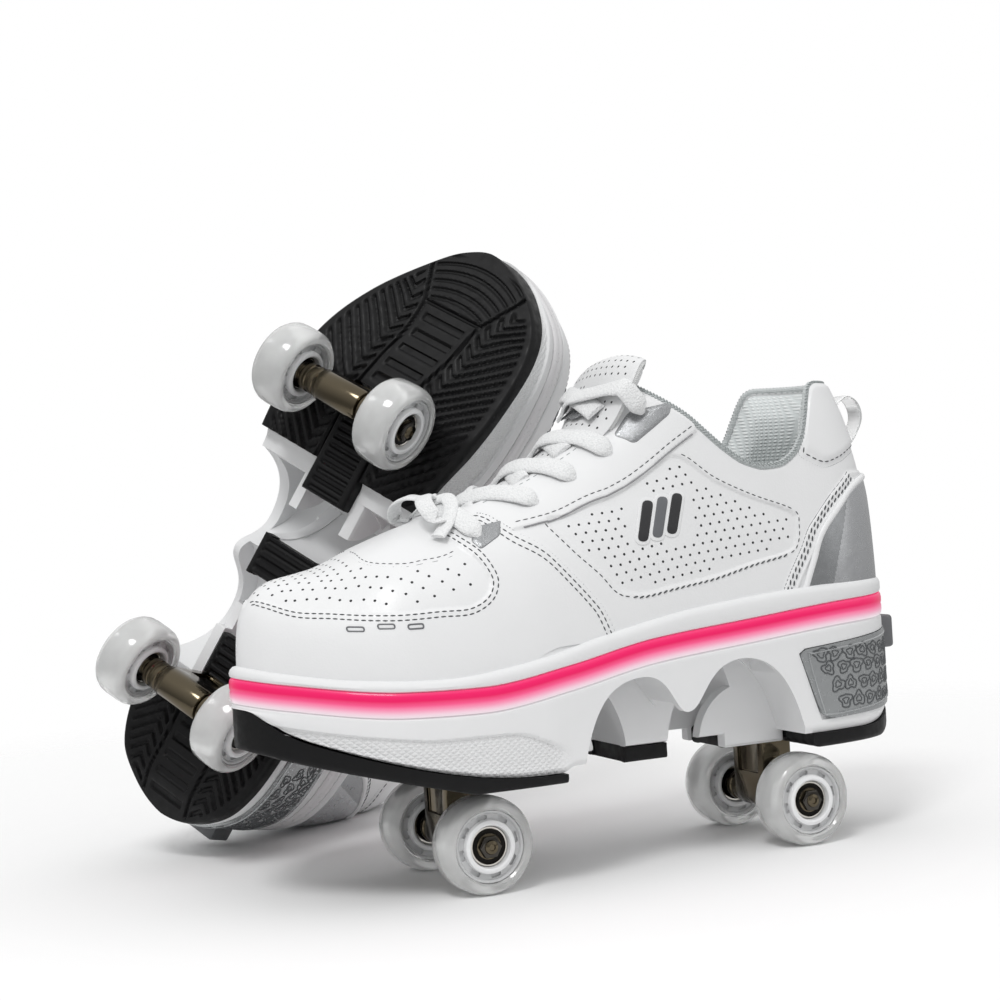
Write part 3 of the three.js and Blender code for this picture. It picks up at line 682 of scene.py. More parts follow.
SOLE_PLAN = spline(
    [(-165, 8), (-161, -6), (-150, -18), (-125, -37), (-98, -48), (-60, -50.5), (-15, -47),
     (40, -44), (86, -43.5), (114, -36.5), (130.5, -20), (136.5, 0), (130.5, 20), (114, 36.5),
     (86, 43.5), (40, 44.5), (-10, 46.5), (-50, 50), (-80, 57), (-105, 58.5), (-128, 56),
     (-145, 47), (-158, 29)], 1.0, closed=True)[:-1]
FOXING_TOP = [(-170, 99), (-151, 94.8), (-130, 91.5), (-93, 89.5), (-58, 93), (-21, 100.7),
              (27, 108.4), (93, 113), (145, 113.3)]
STRIP_TOP = [(-170, 94), (-151, 90.5), (-110, 85.5), (-80, 85), (-40, 90), (0, 97), (46, 101),
             (97, 105.2), (145, 106.5)]
STRIP_HEIGHT = 10.0
FLOOR = [(-170, 90), (-130, 86), (-90, 85.5), (-62, 90), (-42, 97.5), (60, 99), (145, 103)]
TOE_SEAM = [(-172, 82.5), (-163, 81), (-157, 76), (-150, 70.5), (-132, 63), (-112, 56.7),
            (-95, 52.4), (-78, 49.2), (-61, 47.5), (-44, 47)]
WAVE = [(-170, 79), (-156, 75), (-136, 71), (-116, 68), (-95, 66), (-78, 66), (-67, 65.5),
        (-56, 62), (-48, 58), (-41, 53)]


def plan(offset, points=SOLE_PLAN):
    """The sole's outline grown (or shrunk) all round."""
    t = unit(np.roll(points, -1, 0) - np.roll(points, 1, 0))
    return points + np.stack([t[:, 1], -t[:, 0]], 1) * offset


def plan_sides(offset):
    """The lateral and medial edges of the outline, each as rows of (x, y) from toe to heel."""
    q = plan(offset)
    toe, heel = int(np.argmin(q[:, 0])), int(np.argmax(q[:, 0]))
    q = np.roll(q, -toe, axis=0)
    heel = (heel - toe) % len(q)
    lateral = q[: heel + 1]
    medial = np.vstack([q[heel:], q[:1]])[::-1]
    return lateral, medial


def edge_y(rows, x):
    """The y of one edge of the outline at x."""
    return np.interp(x, rows[:, 0], rows[:, 1])


# ---------------------------------------------------------------- the skin
# The upper's outer skin: each side is a grid of stations from toe to heel, with arc length
# measured up from the foxing.  A feature is placed by (s, h): s is x up to HEEL_X and the
# path length round the heel behind it, h the height along the skin.

POWER = 2.2
UPPER = [(-160, 10, 12, 113), (-153, 11, 19, 125.5), (-147, 12, 26, 129), (-142, 12, 30, 130.5),
         (-127, 10, 41, 133.5), (-107, 6.5, 46.5, 142), (-85, 4, 48, 150), (-62, 1.5, 46.5, 158),
         (-41, 0, 44.5, 167), (-21, 0, 43, 179), (-3, 0, 41.5, 193), (13, 0, 40.5, 211),
         (30, 0, 39.5, 230), (60, 0, 39, 236), (90, 0, 38.5, 232)]
TOE_TOP = [(-161, 101), (-160.4, 108), (-158.5, 116.5), (-155, 123), (-150, 127.3), (-144, 130),
           (-135, 131.8), (-127, 133.5)]
TOPLINE = [(-20, 236), (5, 213), (15, 201), (21, 196), (31, 188), (36, 183), (45, 174.5),
           (54.6, 168), (64.5, 165.4), (72, 166), (80, 170), (85.5, 176.5), (89.5, 186),
           (93.5, 194), (98, 199), (104, 200.5), (150, 199.5)]
HEEL_BACK = [(80, 129), (103, 130.5), (113, 131), (130, 130.5), (148, 129.5), (160, 127.5),
             (167, 126), (178, 122.5), (189, 118.5), (197, 115), (205, 111)]
HEEL_X = 85.0
HEEL_MIDDLE_Z = 150.0
HEEL_POWER = 2.3
THROAT_START, THROAT_END = -72.0, -20.0
SKIN_START = -160.8
SKIN_COLUMNS = 120
UPPER_INSET = 4.2
SHELL = 2.2

LATERAL_EDGE, MEDIAL_EDGE = plan_sides(-UPPER_INSET)


def base_z(x):
    """The height at which the upper meets the midsole."""
    return smooth(FLOOR, x) + 0.3


def throat_half(x):
    """Half the width of the throat under the laces."""
    t = np.clip((x - THROAT_START) / 12, 0, 1)
    opening = 10.5 * np.sqrt(np.clip(1 - (1 - t) ** 2, 0, 1))
    return opening + 8.5 * np.clip((x - THROAT_START) / 132, 0, 1)


def section_size(x):
    """Centre, half width and top of the upper's section at x."""
    w = smooth(UPPER, x, 2)
    c = smooth(UPPER, x, 1)
    low, high = edge_y(LATERAL_EDGE, x), edge_y(MEDIAL_EDGE, x)
    k = 1 - step(-125, -88, x)
    c = c * (1 - k) + k * (low + high) / 2
    w = w * (1 - k) + k * (high - low) / 2
    top = np.where(x < -127, smooth(TOE_TOP, x), smooth(UPPER, x, 3))
    return c, w, top


def section_curve(x, sign, count=240):
    """The outer curve of one side at x, from the foxing up to the shell's top edge."""
    c, w, top = (float(k) for k in section_size(x))
    base = float(base_z(x))
    height = top - base
    low = float(smooth(FOXING_TOP, x)) - 4
    a0 = math.asin(min(1, max(0, (low - base) / height)) ** (POWER / 2))
    a1 = math.pi / 2
    if x > THROAT_START:
        across = min(1, (float(throat_half(x)) + 0.5 * abs(c)) / w)
        a_throat = math.acos(across ** (POWER / 2))
        a_top = math.asin(min(1, (float(smooth(TOPLINE, x)) - base) / height) ** (POWER / 2))
        blend = 0.05
        a1 = 0.5 * (a_throat + a_top - math.hypot(a_throat - a_top, blend))
        if x < THROAT_END:
            a1 = a_throat
    a = np.linspace(a0, a1, count)
    y = c + sign * w * np.cos(a) ** (2 / POWER)
    z = base + height * np.sin(a) ** (2 / POWER)
    return np.stack([np.full(count, x), y, z], 1)


def heel_curve(turn, sign, count=240):
    """The same for the heel, turned from its side (0) to its middle (90 degrees)."""
    side = section_curve(HEEL_X, sign, count)
    low = float(smooth(FOXING_TOP, 110)) - 4
    share = (side[:, 2] - side[0, 2]) / (side[-1, 2] - side[0, 2])
    back_x = HEEL_X + (smooth(HEEL_BACK, HEEL_MIDDLE_Z) - HEEL_X) * math.sin(turn)
    top = float(smooth(TOPLINE, back_x))
    z = side[0, 2] * (1 - turn / 1.6) + low * turn / 1.6
    z = z + share * (top - z)
    _, w, size_top = (float(k) for k in section_size(HEEL_X))
    base = float(base_z(HEEL_X))
    height = size_top - base
    half = w * np.clip(1 - np.clip((z - base) / height, 0, 1) ** POWER, 0, 1) ** (1 / POWER)
    reach = smooth(HEEL_BACK, z) - HEEL_X
    x = HEEL_X + reach * math.sin(turn) ** (2 / HEEL_POWER)
    y = sign * half * math.cos(turn) ** (2 / HEEL_POWER)
    return np.stack([x, y, z], 1)


def build_skin():
    """Both flanks as grids of points, and the stations of their rows."""
    nose = SKIN_START + 34 * (1 - np.cos(np.linspace(0, math.pi / 2, 48)))
    side_x = np.linspace(nose[-1], HEEL_X, 240)[1:]
    turns = np.linspace(0, math.pi / 2, 64)[1:]
    skins = {}
    for side, sign in FLANKS.items():
        rows = [section_curve(max(x, SKIN_START + 0.02), sign) for x in (*nose, *side_x)]
        rows += [heel_curve(t, sign) for t in turns]
        grid = np.array([spread(r, SKIN_COLUMNS) for r in rows])
        skins[side] = grid
    s = np.concatenate([nose, side_x])
    middle = skins["lateral"][:, SKIN_COLUMNS // 2]
    round_heel = np.cumsum(np.linalg.norm(np.diff(middle[len(s) - 1:], axis=0), axis=1))
    return skins, np.concatenate([s, HEEL_X + round_heel])


SKINS, STATION = build_skin()
ROWS = len(STATION)


def grid_normals(grid, sign):
    """Outward normals of a skin grid; sign is -1 on the lateral side."""
    du, dv = np.gradient(grid, axis=0), np.gradient(grid, axis=1)
    return unit(np.cross(du, dv) * -sign)


NORMALS = {side: grid_normals(SKINS[side], sign) for side, sign in FLANKS.items()}
HEIGHTS = {
    side: np.concatenate(
        [np.zeros((ROWS, 1)), np.cumsum(np.linalg.norm(np.diff(g, axis=1), axis=2), axis=1)], 1)
    for side, g in SKINS.items()
}


def find(point):
    """(s, h) of the lateral skin point nearest to a point of the skate's frame."""
    d = np.linalg.norm(SKINS["lateral"] - np.array(point, float), axis=2)
    i, j = np.unravel_index(np.argmin(d), d.shape)
    return np.array([STATION[i], HEIGHTS["lateral"][i, j]])


def trace(points, spacing=1.0, closed=False):
    """A smooth curve in (s, h) through points given as (x, y, z) on the lateral side."""
    return spline([find(p) for p in points], spacing, closed)


def on_skin(curve, side, lift=0.0):
    """Positions and outward normals of (s, h) points on one side."""
    curve = np.asarray(curve, float)
    i = np.interp(curve[:, 0], STATION, np.arange(ROWS))
    i0 = np.clip(i.astype(int), 0, ROWS - 2)
    k = (i - i0)[:, None]
    out, nor = [], []
    for row, weight in ((i0, 1 - k), (i0 + 1, k)):
        length = HEIGHTS[side][row, -1]
        j = np.clip(curve[:, 1] / length, 0, 1) * (SKIN_COLUMNS - 1)
        j0 = np.clip(j.astype(int), 0, SKIN_COLUMNS - 2)
        m = (j - j0)[:, None]
        g, n = SKINS[side], NORMALS[side]
        out.append(weight * (g[row, j0] * (1 - m) + g[row, j0 + 1] * m))
        nor.append(weight * (n[row, j0] * (1 - m) + n[row, j0 + 1] * m))
    normal = unit(nor[0] + nor[1])
    return out[0] + out[1] + normal * lift, normal


# ------------------------------------------------------- panels of the upper

TOE_LINE = trace([(-156, 8, 122), (-154, 5, 123), (-150, -2, 122), (-142, -10, 119),
                  (-131, -18, 117), (-117, -28, 116), (-104, -35, 116), (-89, -38, 116),
                  (-79, -40, 117), (-72, -40, 120), (-69, -39, 125), (-70, -36, 130),
                  (-73, -32, 135), (-77, -27, 140), (-81, -22, 144)])
MUD_LINE = trace([(-17, -42, 101), (-21, -42, 111), (-26, -42, 117), (-34, -41, 126),
                  (-43, -38, 136), (-52, -33, 143), (-58, -26, 148), (-61, -22, 151),
                  (-65, -18, 152), (-70, -17, 151), (-75, -19, 148)])
EYE_LINE = trace([(-53, -31, 146), (-44, -32, 147), (-33, -33, 150), (-19, -33, 155),
                  (-2, -33, 161), (10, -33, 168), (23, -32, 176), (33, -32, 182)])
QUARTER = trace([(-39, -33, 148), (-30, -39, 137), (-20, -41, 126), (-13, -41, 119),
                 (-6, -41, 116.5), (1, -40, 116), (15, -40, 118), (34, -39, 121),
                 (53, -38, 125), (72, -38, 128.5), (76.5, -38, 133), (77, -37, 140),
                 (75, -37, 145), (56, -36, 152), (38, -36, 161), (22, -33, 171.5),
                 (10, -33, 166.5), (-2, -33, 159.5), (-19, -33, 153.5), (-33, -33, 149)],
                closed=True)
COUNTER_LINE = trace([(66, -39, 108), (72, -38, 118), (79, -38, 129), (85, -37, 139),
                      (95, -35, 149), (108, -28, 160)])
SILVER_LINE = trace([(77, -38, 109), (83, -38, 123), (89, -37, 134), (98, -34, 145),
                     (107, -30, 153), (116, -20, 157), (124, 0, 158)])
CAP_LINE = trace([(84, -34, 174), (83.5, -34, 170), (86, -34, 167), (95, -33, 164),
                  (104, -29, 165), (112, -23, 168), (119, -12, 170), (122, 0, 171)])
TAB_LINE = trace([(-113, 6, 139), (-113.5, 0, 139), (-113, -9, 136), (-110, -17, 134),
                  (-100, -24, 133), (-91, -27, 134), (-84, -29, 136), (-79, -29, 138)])
FAR = 400.0
TOE_PANEL = np.vstack([TOE_LINE, [(-81, FAR), (-170, FAR), (-170, TOE_LINE[0, 1])]])
MUDGUARD = np.vstack([[(-170, -20), (-17, -20)], MUD_LINE, TOE_LINE[::-1],
                      [(-170, TOE_LINE[0, 1])]])
EYESTAY = np.vstack([EYE_LINE, [(60, FAR), (-80, FAR), (-80, MUD_LINE[-1, 1])],
                     MUD_LINE[::-1][:30]])
CAP = np.vstack([CAP_LINE, [(FAR, CAP_LINE[-1, 1]), (FAR, FAR), (84, FAR)]])
TAB = np.vstack([TAB_LINE, [(-70, TAB_LINE[-1, 1] + 6), (-70, FAR), (-113.5, FAR)]])
BAND = np.vstack([COUNTER_LINE, [(FAR, COUNTER_LINE[-1, 1]), (FAR, -20), (66, -20)]])
EDGE = 0.7  # the width over which a cut edge falls to the layer below
THIN_LAYER, THICK_LAYER, PADDING = 0.8, 0.9, 1.5


def relief(curve):
    """Height of the sewn layers above the skin at (s, h) points."""
    s, h = np.asarray(curve, float)[..., 0], np.asarray(curve, float)[..., 1]
    inside = lambda polygon: inside_distance(polygon, s, h)
    over = lambda distance: step(-EDGE, 0, distance)
    toe, quarter, guard = inside(TOE_PANEL), inside(QUARTER), inside(MUDGUARD)
    frame_layer = THIN_LAYER * (1 - over(toe)) * (1 - over(quarter))
    mud = THIN_LAYER * over(guard * (1 - (toe > 0)))
    eye = THICK_LAYER * over(inside(EYESTAY)) * (1 - over(guard))
    cap = PADDING * step(-0.5, 5, inside(CAP))
    tab = THICK_LAYER * over(inside(TAB))
    band = THICK_LAYER * over(inside(BAND))
    puff = 0.35 * step(0, 14, quarter) + 0.3 * step(0, 16, toe)
    return frame_layer + np.maximum(mud, np.maximum(eye, tab)) + cap + band + puff


def on_layers(curve, side, lift=0.0):
    """Positions and normals of (s, h) points standing on the sewn layers."""
    height = (relief(curve) + lift)[:, None]
    position, normal = on_skin(curve, side)
    return position + normal * height, normal


def upper_shell():
    """The shell: both flanks inside and out, joined along the toe and the back of the heel."""
    outer, inner = {}, {}
    for side in FLANKS:
        grid = np.stack([np.broadcast_to(STATION[:, None], HEIGHTS[side].shape),
                         HEIGHTS[side]], -1)
        lift = relief(grid)
        rim = step(0, 2.0, HEIGHTS[side][:, -1:] - HEIGHTS[side])
        open_edge = (STATION > THROAT_START)[:, None]
        lift = lift - np.where(open_edge, (1 - rim) * 0.8, 0)
        outer[side] = SKINS[side] + NORMALS[side] * lift[..., None]
        inner[side] = SKINS[side] - NORMALS[side] * SHELL
    form = Form()
    merged = int(np.searchsorted(STATION, THROAT_START))
    count = ROWS * SKIN_COLUMNS
    points = []
    for layer in (outer, inner):
        middle = (layer["lateral"][:merged, -1] + layer["medial"][:merged, -1]) / 2
        for side in FLANKS:
            layer[side][:merged, -1] = middle
        back = (layer["lateral"][-1] + layer["medial"][-1]) / 2
        layer["lateral"][-1] = layer["medial"][-1] = back
        points += [layer["lateral"].reshape(-1, 3), layer["medial"].reshape(-1, 3)]
    index = np.arange(4 * count).reshape(4, ROWS, SKIN_COLUMNS)
    for base in (0, 2):
        index[base + 1, :merged, -1] = index[base, :merged, -1]
        index[base + 1, -1] = index[base, -1]
        index[base + 1, 0] = index[base, 0]
    points[1][:SKIN_COLUMNS] = points[0][:SKIN_COLUMNS]
    points[3][:SKIN_COLUMNS] = points[2][:SKIN_COLUMNS]
    faces = []

    def skin(k, flip):
        a, b = index[k, :-1, :-1], index[k, 1:, :-1]
        c, d = index[k, 1:, 1:], index[k, :-1, 1:]
        quads = np.stack([a, b, c, d], -1).reshape(-1, 4)
        faces.extend(map(tuple, quads[:, ::-1] if flip else quads))

    for k, flip in enumerate((False, True, True, False)):
        skin(k, flip)
    for k, flip in ((0, False), (1, True)):
        for column, start in ((-1, merged - 1), (0, 0)):
            a, b = index[k, start:-1, column], index[k, start + 1:, column]
            c, d = index[k + 2, start + 1:, column], index[k + 2, start:-1, column]
            quads = np.stack([a, b, c, d], -1)
            turned = flip != (column == 0)
            faces.extend(map(tuple, quads if turned else quads[:, ::-1]))
    clean = [tuple(dict.fromkeys(f)) for f in faces]
    form.add(np.vstack(points), [f for f in clean if len(f) > 2])
    return drop_loose(form)


def drop_loose(form):
    """The same form without unused vertices."""
    points, shade = form.points(), np.concatenate(form.s)
    used = np.zeros(len(points), bool)
    for f in form.f:
        used[list(f)] = True
    index = np.cumsum(used) - 1
    faces = [tuple(int(index[i]) for i in f) for f in form.f]
    return Form().add(points[used], faces, 0, shade[used])


# Small repeated shapes: a dome on an oval foot, used for stitches and holes.
RING = 8
RING_ANGLES = np.linspace(0, 2 * math.pi, RING, endpoint=False)


def domes(form, centres, tangents, normals, length, width, height, sink=0.15):
    tangents, normals = unit(tangents), unit(normals)
    across = unit(np.cross(normals, tangents))
    n = len(centres)
    c, s = np.cos(RING_ANGLES), np.sin(RING_ANGLES)
    layers = [(1.0, -sink), (1.0, 0.0), (0.72, 0.75 * height)]
    rings = [
        centres[:, None]
        + tangents[:, None] * (c * length / 2 * k)[None, :, None]
        + across[:, None] * (s * width / 2 * k)[None, :, None]
        + normals[:, None] * z
        for k, z in layers
    ]
    top = (centres + normals * height)[:, None]
    verts = np.concatenate([*rings, top], 1)
    size = 3 * RING + 1
    template = []
    for layer in range(2):
        for i in range(RING):
            j = (i + 1) % RING
            template.append((layer * RING + i, layer * RING + j, (layer + 1) * RING + j,
                             (layer + 1) * RING + i))
    for i in range(RING):
        template.append((2 * RING + i, 2 * RING + (i + 1) % RING, 3 * RING))
    template.append(tuple(reversed(range(RING))))
    faces = [tuple(v + k * size for v in f) for k in range(n) for f in template]
    form.add(verts.reshape(-1, 3), faces)


HOLE_WIDTH = 1.25


def perforate(form, positions, tangents, normals):
    """Punched holes, as dark low domes of painted shade."""
    domes(form, positions, tangents, normals, HOLE_WIDTH, HOLE_WIDTH, 0.05, sink=0.3)


def stitch_row(form, path, normal, length, gap, width, height, twist=0.0):
    """Separate stitches along a path of points with normals."""
    distance = lengths(path)
    count = int(distance[-1] / (length + gap))
    if count < 1:
        return
    at = (np.arange(count) + 0.5) * distance[-1] / count
    centre, nor = rows_at(at, distance, path), unit(rows_at(at, distance, normal))
    tangent = unit(rows_at(at, distance, np.gradient(path, axis=0)))
    if twist:
        tangent = tangent + np.cross(nor, tangent) * twist
    domes(form, centre, tangent, nor, length, width, height)


def shifted(curve, offset):
    """A curve in (s, h) moved sideways."""
    t = unit(np.gradient(curve, axis=0))
    return curve + np.stack([-t[:, 1], t[:, 0]], 1) * offset


FINE_STITCH = (2.3, 0.6, 0.62)  # length, gap and width


def skin_stitching():
    """Dark stitches, whose dark colour is partly painted shade of the needle holes; pale stitches;
    perforations as dark domes of painted shade; and thin dark cords of painted shadow along the
    overlays' cut edges.
    """
    dark, pale, holes, shadow_lines = Form(), Form(), Form(), Form()
    turn = [int(np.argmin(np.linalg.norm(QUARTER - find(p), axis=1)))
            for p in ((-39, -33, 148), (-6, -41, 116.5), (73, -38, 129), (75, -37, 145),
                      (22, -33, 171.5))]
    left_edge, low_edge = QUARTER[turn[0]:turn[1]], QUARTER[turn[1]:turn[2]]
    back_edge, top_edge = QUARTER[turn[2]:turn[3]], QUARTER[turn[3]:turn[4]]
    for side in FLANKS:
        for curve, offset, size in (
                (TOE_LINE, -1.3, FINE_STITCH), (TOE_LINE, -3.4, FINE_STITCH),
                (MUD_LINE, 1.5, FINE_STITCH), (MUD_LINE, 3.6, FINE_STITCH),
                (left_edge, -1.7, (2.3, 0.6, 0.55)), (top_edge, -1.6, (2.3, 0.7, 0.5)),
                (back_edge, -1.5, (2.2, 0.7, 0.5)), (EYE_LINE, 2.6, (2.5, 0.7, 0.5)),
                (CAP_LINE, 2.0, (2.6, 0.8, 0.6)), (TAB_LINE, 1.4, (2.0, 0.8, 0.4))):
            stitch_row(dark, *on_layers(shifted(curve, offset), side), *size, 0.25)
        stitch_row(dark, *on_layers(shifted(low_edge, -1.6), side), 2.6, 0.3, 0.8, 0.45, 0.35)
        for offset in (-1.0, -2.9):
            stitch_row(dark, *on_layers(shifted(COUNTER_LINE, offset), side), 2.6, 0.5, 0.8,
                       0.4, 0.3)
        # Painted shadow: thin dark cords along the overlays' edges stand for the shadow under each cut
        # edge.
        shadow_lines.add(*tube(on_layers(shifted(EYE_LINE[4:-2], -0.35), side)[0], 0.42, 6))
        for curve in (shifted(MUD_LINE, -0.5), shifted(COUNTER_LINE, 0.4), shifted(TAB_LINE, -0.3),
                      shifted(CAP_LINE, -0.4)):
            shadow_lines.add(*tube(on_layers(curve, side, -0.15)[0], 0.2, 5), material=1)
        throat = np.stack([np.linspace(-60, 2, 90), np.zeros(90)], 1)
        length = np.interp(throat[:, 0], STATION, HEIGHTS[side][:, -1])
        throat[:, 1] = length - 4
        stitch_row(pale, *on_layers(throat, side), 2.2, 1.3, 0.4, 0.25)
        punch(holes, side)
    return dark, pale, holes, shadow_lines


def punch(form, side):
    """The perforations of the toe and quarter panels, drawn as dark domes of painted shade."""
    pitch, row = 4.5, 3.75
    spots = np.array([(s, h) for k, h in enumerate(np.arange(0, 90, row))
                      for s in np.arange(-60, 90, pitch) + (k % 2) * pitch / 2])
    keep = inside_distance(QUARTER, spots[:, 0], spots[:, 1]) > 3.2
    spots = spots[keep]
    here, _ = on_skin(spots, side)
    near_mark = (abs(here[:, 0] - 11) < 15) & (abs(here[:, 2] - 147) < 11)
    spots = spots[~(near_mark & (side == "lateral"))]
    grid, heights, sign = SKINS[side], HEIGHTS[side], FLANKS[side]
    for k, x in enumerate(np.arange(-152, -70, row)):
        centre = float(section_size(x)[0])
        for y in np.arange(0, 50, pitch) + (k % 2) * pitch / 2:
            if y == 0 and side == "medial":
                continue
            row_i = int(np.argmin(abs(STATION - x)))
            j = int(np.argmin(abs(grid[row_i, :, 1] - centre - sign * y)))
            spot = np.array([[STATION[row_i], heights[row_i, j]]])
            toe = inside_distance(TOE_PANEL, spot[:, 0], spot[:, 1])[0]
            tab = inside_distance(TAB, spot[:, 0], spot[:, 1])[0]
            if toe > 4.0 and tab < -2.5 and (x < -118 or abs(y) > 4 or tab < -4):
                spots = np.vstack([spots, spot])
    position, normal = on_layers(spots, side)
    perforate(form, position, np.cross(normal, [0.1, 1.0, 0.3]), normal)


emit("upper", upper_shell(), "shoe", [LEATHER], ("upper",), angle=60)
dark, pale, holes, shadow_lines = skin_stitching()
# Dark stitches, their colour partly painted shade of the needle holes.
emit("stitching_dark", dark, "shoe", [THREAD_AND_HOLE_SHADE])
emit("stitching_pale", pale, "shoe", [THREAD_PALE])
# Perforations: dark domes of painted shade.
emit("perforations", holes, "shoe", [HOLE_SHADE])
# Thin dark cords of painted shadow along the overlays' cut edges.
emit("painted_edge_shadows", shadow_lines, "shoe", [EDGE_SHADOW, MARK_GREY_AND_EDGE_SHADOW])


# -------------------------------------------------------------- upper trim


def skin_patch(s_values, low_h, high_h, side, lift, thickness, columns=40, round_edge=0.8):
    """A closed sheet lying over the skin between two heights, its border rounded down."""
    s_values = np.asarray(s_values, float)
    v = np.linspace(0, 1, columns)
    h = low_h[:, None] * (1 - v) + high_h[:, None] * v
    curve = np.stack([np.broadcast_to(s_values[:, None], h.shape), h], -1).reshape(-1, 2)
    below = high_h[:, None] - h
    front = np.broadcast_to((s_values - s_values[0])[:, None], h.shape)
    edge = np.minimum(step(-0.01, round_edge, below), step(-0.01, round_edge, front)).ravel()
    top, normal = on_skin(curve, side)
    size = (len(s_values), columns, 3)
    outer = top + normal * (lift + thickness * edge)[:, None]
    inner = top + normal * (lift - 0.3)
    return slab(outer.reshape(size), inner.reshape(size), side == "medial")


def heel_counter():
    """Silver foil panel: a dark wedge in front of a paler back, and white piping before it."""
    form, piping = Form(), Form()
    order = np.argsort(SILVER_LINE[:, 0])
    line = SILVER_LINE[order]
    end = STATION[-1]
    for side in FLANKS:
        s = np.concatenate([np.linspace(line[0, 0] + 0.2, line[0, 0] + 14, 24),
                            np.linspace(line[0, 0] + 14.6, end - 0.02, 70)])
        top = np.interp(s, line[:, 0], line[:, 1])
        verts, faces = skin_patch(s, np.full(len(s), 0.0), top, side, 1.7, 0.8)
        tone = []
        for f in faces:
            p = verts[list(f)].mean(0)
            tone.append(0 if p[0] < 92 + (p[2] - 110) * 0.34 else 1)
        form.add(verts, faces)
        form.m[-len(faces):] = tone
        path, normal = on_skin(line, side, 2.3)
        piping.add(*tube(path, 1.5, 10, squash=(1, 0.8), up=normal))
        bead, _ = on_layers(shifted(COUNTER_LINE, -4.6), side, 0.1)
        piping.add(*tube(bead, 0.9, 8))
    return form, piping


counter, piping = heel_counter()
emit("heel_counter", counter, "shoe", [SILVER_DARK, SILVER], ("heel_counter",))
emit("counter_piping", piping, "shoe", [LEATHER])


def whole_topline(start, lift=0.2):
    """The shell's top edge from the throat round the heel and back, with its normals."""
    first = int(np.searchsorted(STATION, start))
    normals = [NORMALS[side][first:, -1] for side in FLANKS]
    edges = [SKINS[side][first:, -1] + n * lift for side, n in zip(FLANKS, normals)]
    join = lambda there, back: np.vstack([there, back[::-1][1:]])
    return join(*edges), join(*normals)


def binding():
    """Overlocked edge round the collar: a soft cord wrapped by slanting threads."""
    cord, thread = Form(), Form()
    path, normal = whole_topline(-4.0)
    fine = resample(np.hstack([path, normal]), 1.0)
    path, normal = fine[:, :3], unit(fine[:, 3:])
    centre = path - normal * 0.7
    wobble = 1.7 + 0.12 * np.sin(np.arange(len(path)) * 1.9)
    cord.add(*tube(centre, wobble, 10))
    tangent = unit(np.gradient(path, axis=0))
    up = unit(np.cross(normal, tangent))
    up = np.where(up[:, 2:] < 0, -up, up)
    outward = unit(normal + up * 0.25)
    for shift, lean in ((-0.6, 0.75), (0.5, -0.75)):
        spots = centre + outward * 1.55 + up * shift
        stitch_row(thread, spots, outward, 2.1, -0.5, 0.6, 0.55, lean)
    return cord, thread


cord, thread = binding()
emit("collar_binding", cord, "shoe", [BINDING])
emit("collar_overlock", thread, "shoe", [THREAD_PALE])


def collar_lining():
    """The padded lining: a soft roll under the binding, easing into the shoe."""
    first = int(np.searchsorted(STATION, 6.0))
    rows = list(range(first, ROWS, 2)) + [ROWS - 1]
    depth = [(0, 1.2), (1.5, 0.2), (5, 3.5), (11, 7.2), (20, 8.6), (30, 7.6), (42, 5.2),
             (56, 4.0), (75, 3.6)]
    loops = []
    for side in FLANKS:
        line = []
        for row in rows:
            grid, normal = SKINS[side][row], NORMALS[side][row]
            length = HEIGHTS[side][row]
            down = np.linspace(0, 1, 44) ** 1.3 * min(72.0, length[-1] - 3)
            h = length[-1] - down
            p, n = rows_at(h, length, grid), unit(rows_at(h, length, normal))
            fullness = 0.75 + 0.45 * step(60, 110, STATION[row])
            inward = smooth(depth, down) * fullness + SHELL * step(0, 3, down)
            rim = np.array([0, 0, 1.0]) * (1.2 * np.exp(-((down - 2.5) / 3) ** 2))[:, None]
            line.append(p - n * inward[:, None] + rim)
        loops.append(np.array(line))
    lateral, medial = loops
    medial[-1] = lateral[-1] = (lateral[-1] + medial[-1]) / 2
    sheet = np.concatenate([lateral, medial[::-1][1:]], 0)
    out = unit(np.cross(np.gradient(sheet, axis=1), np.gradient(sheet, axis=0)))
    return Form().add(*slab(sheet, sheet + out))


emit("collar_lining", collar_lining(), "shoe", [LINING])

# The tongue's middle line: (x, z) up the throat and over its rounded end.
TONGUE_PATH = [(-72, 148.5), (-66, 152.5), (-41, 165.5), (-21, 177.5), (-8, 188), (0, 198.5),
               (4.5, 208), (9, 214), (13.5, 216.4), (18.5, 215.8), (23, 211.5)]


def tongue_surface():
    """The padded tongue's outer face as a grid, with its outward normals."""
    path = spline(TONGUE_PATH, 1.2)
    length = lengths(path)
    share = length / length[-1]
    half = smooth([(0, 8), (0.06, 13), (0.3, 17), (0.55, 21), (0.7, 27), (0.8, 29.5),
                   (0.87, 28), (0.93, 24), (0.975, 17), (1, 10)], share)
    t = unit(np.gradient(path, axis=0))
    n = np.stack([-t[:, 1], t[:, 0]], 1)
    v = np.linspace(-1, 1, 49)
    flatter = 1 - 0.6 * step(0.55, 0.75, share)[:, None]
    drop = 0.25 * flatter * half[:, None] * np.abs(v)[None, :] ** 2.4
    crown = 1.2 * np.cos(v * math.pi / 2)[None, :] * step(0.0, 0.1, share)[:, None]
    x = path[:, :1] - n[:, :1] * (drop - crown)
    z = path[:, 1:] - n[:, 1:] * (drop - crown)
    y = half[:, None] * v[None, :]
    sheet = np.stack([x, y, z], -1)
    out = unit(np.cross(np.gradient(sheet, axis=0), np.gradient(sheet, axis=1)))
    return sheet, out, share


TONGUE_SHEET, TONGUE_NORMAL, TONGUE_SHARE = tongue_surface()


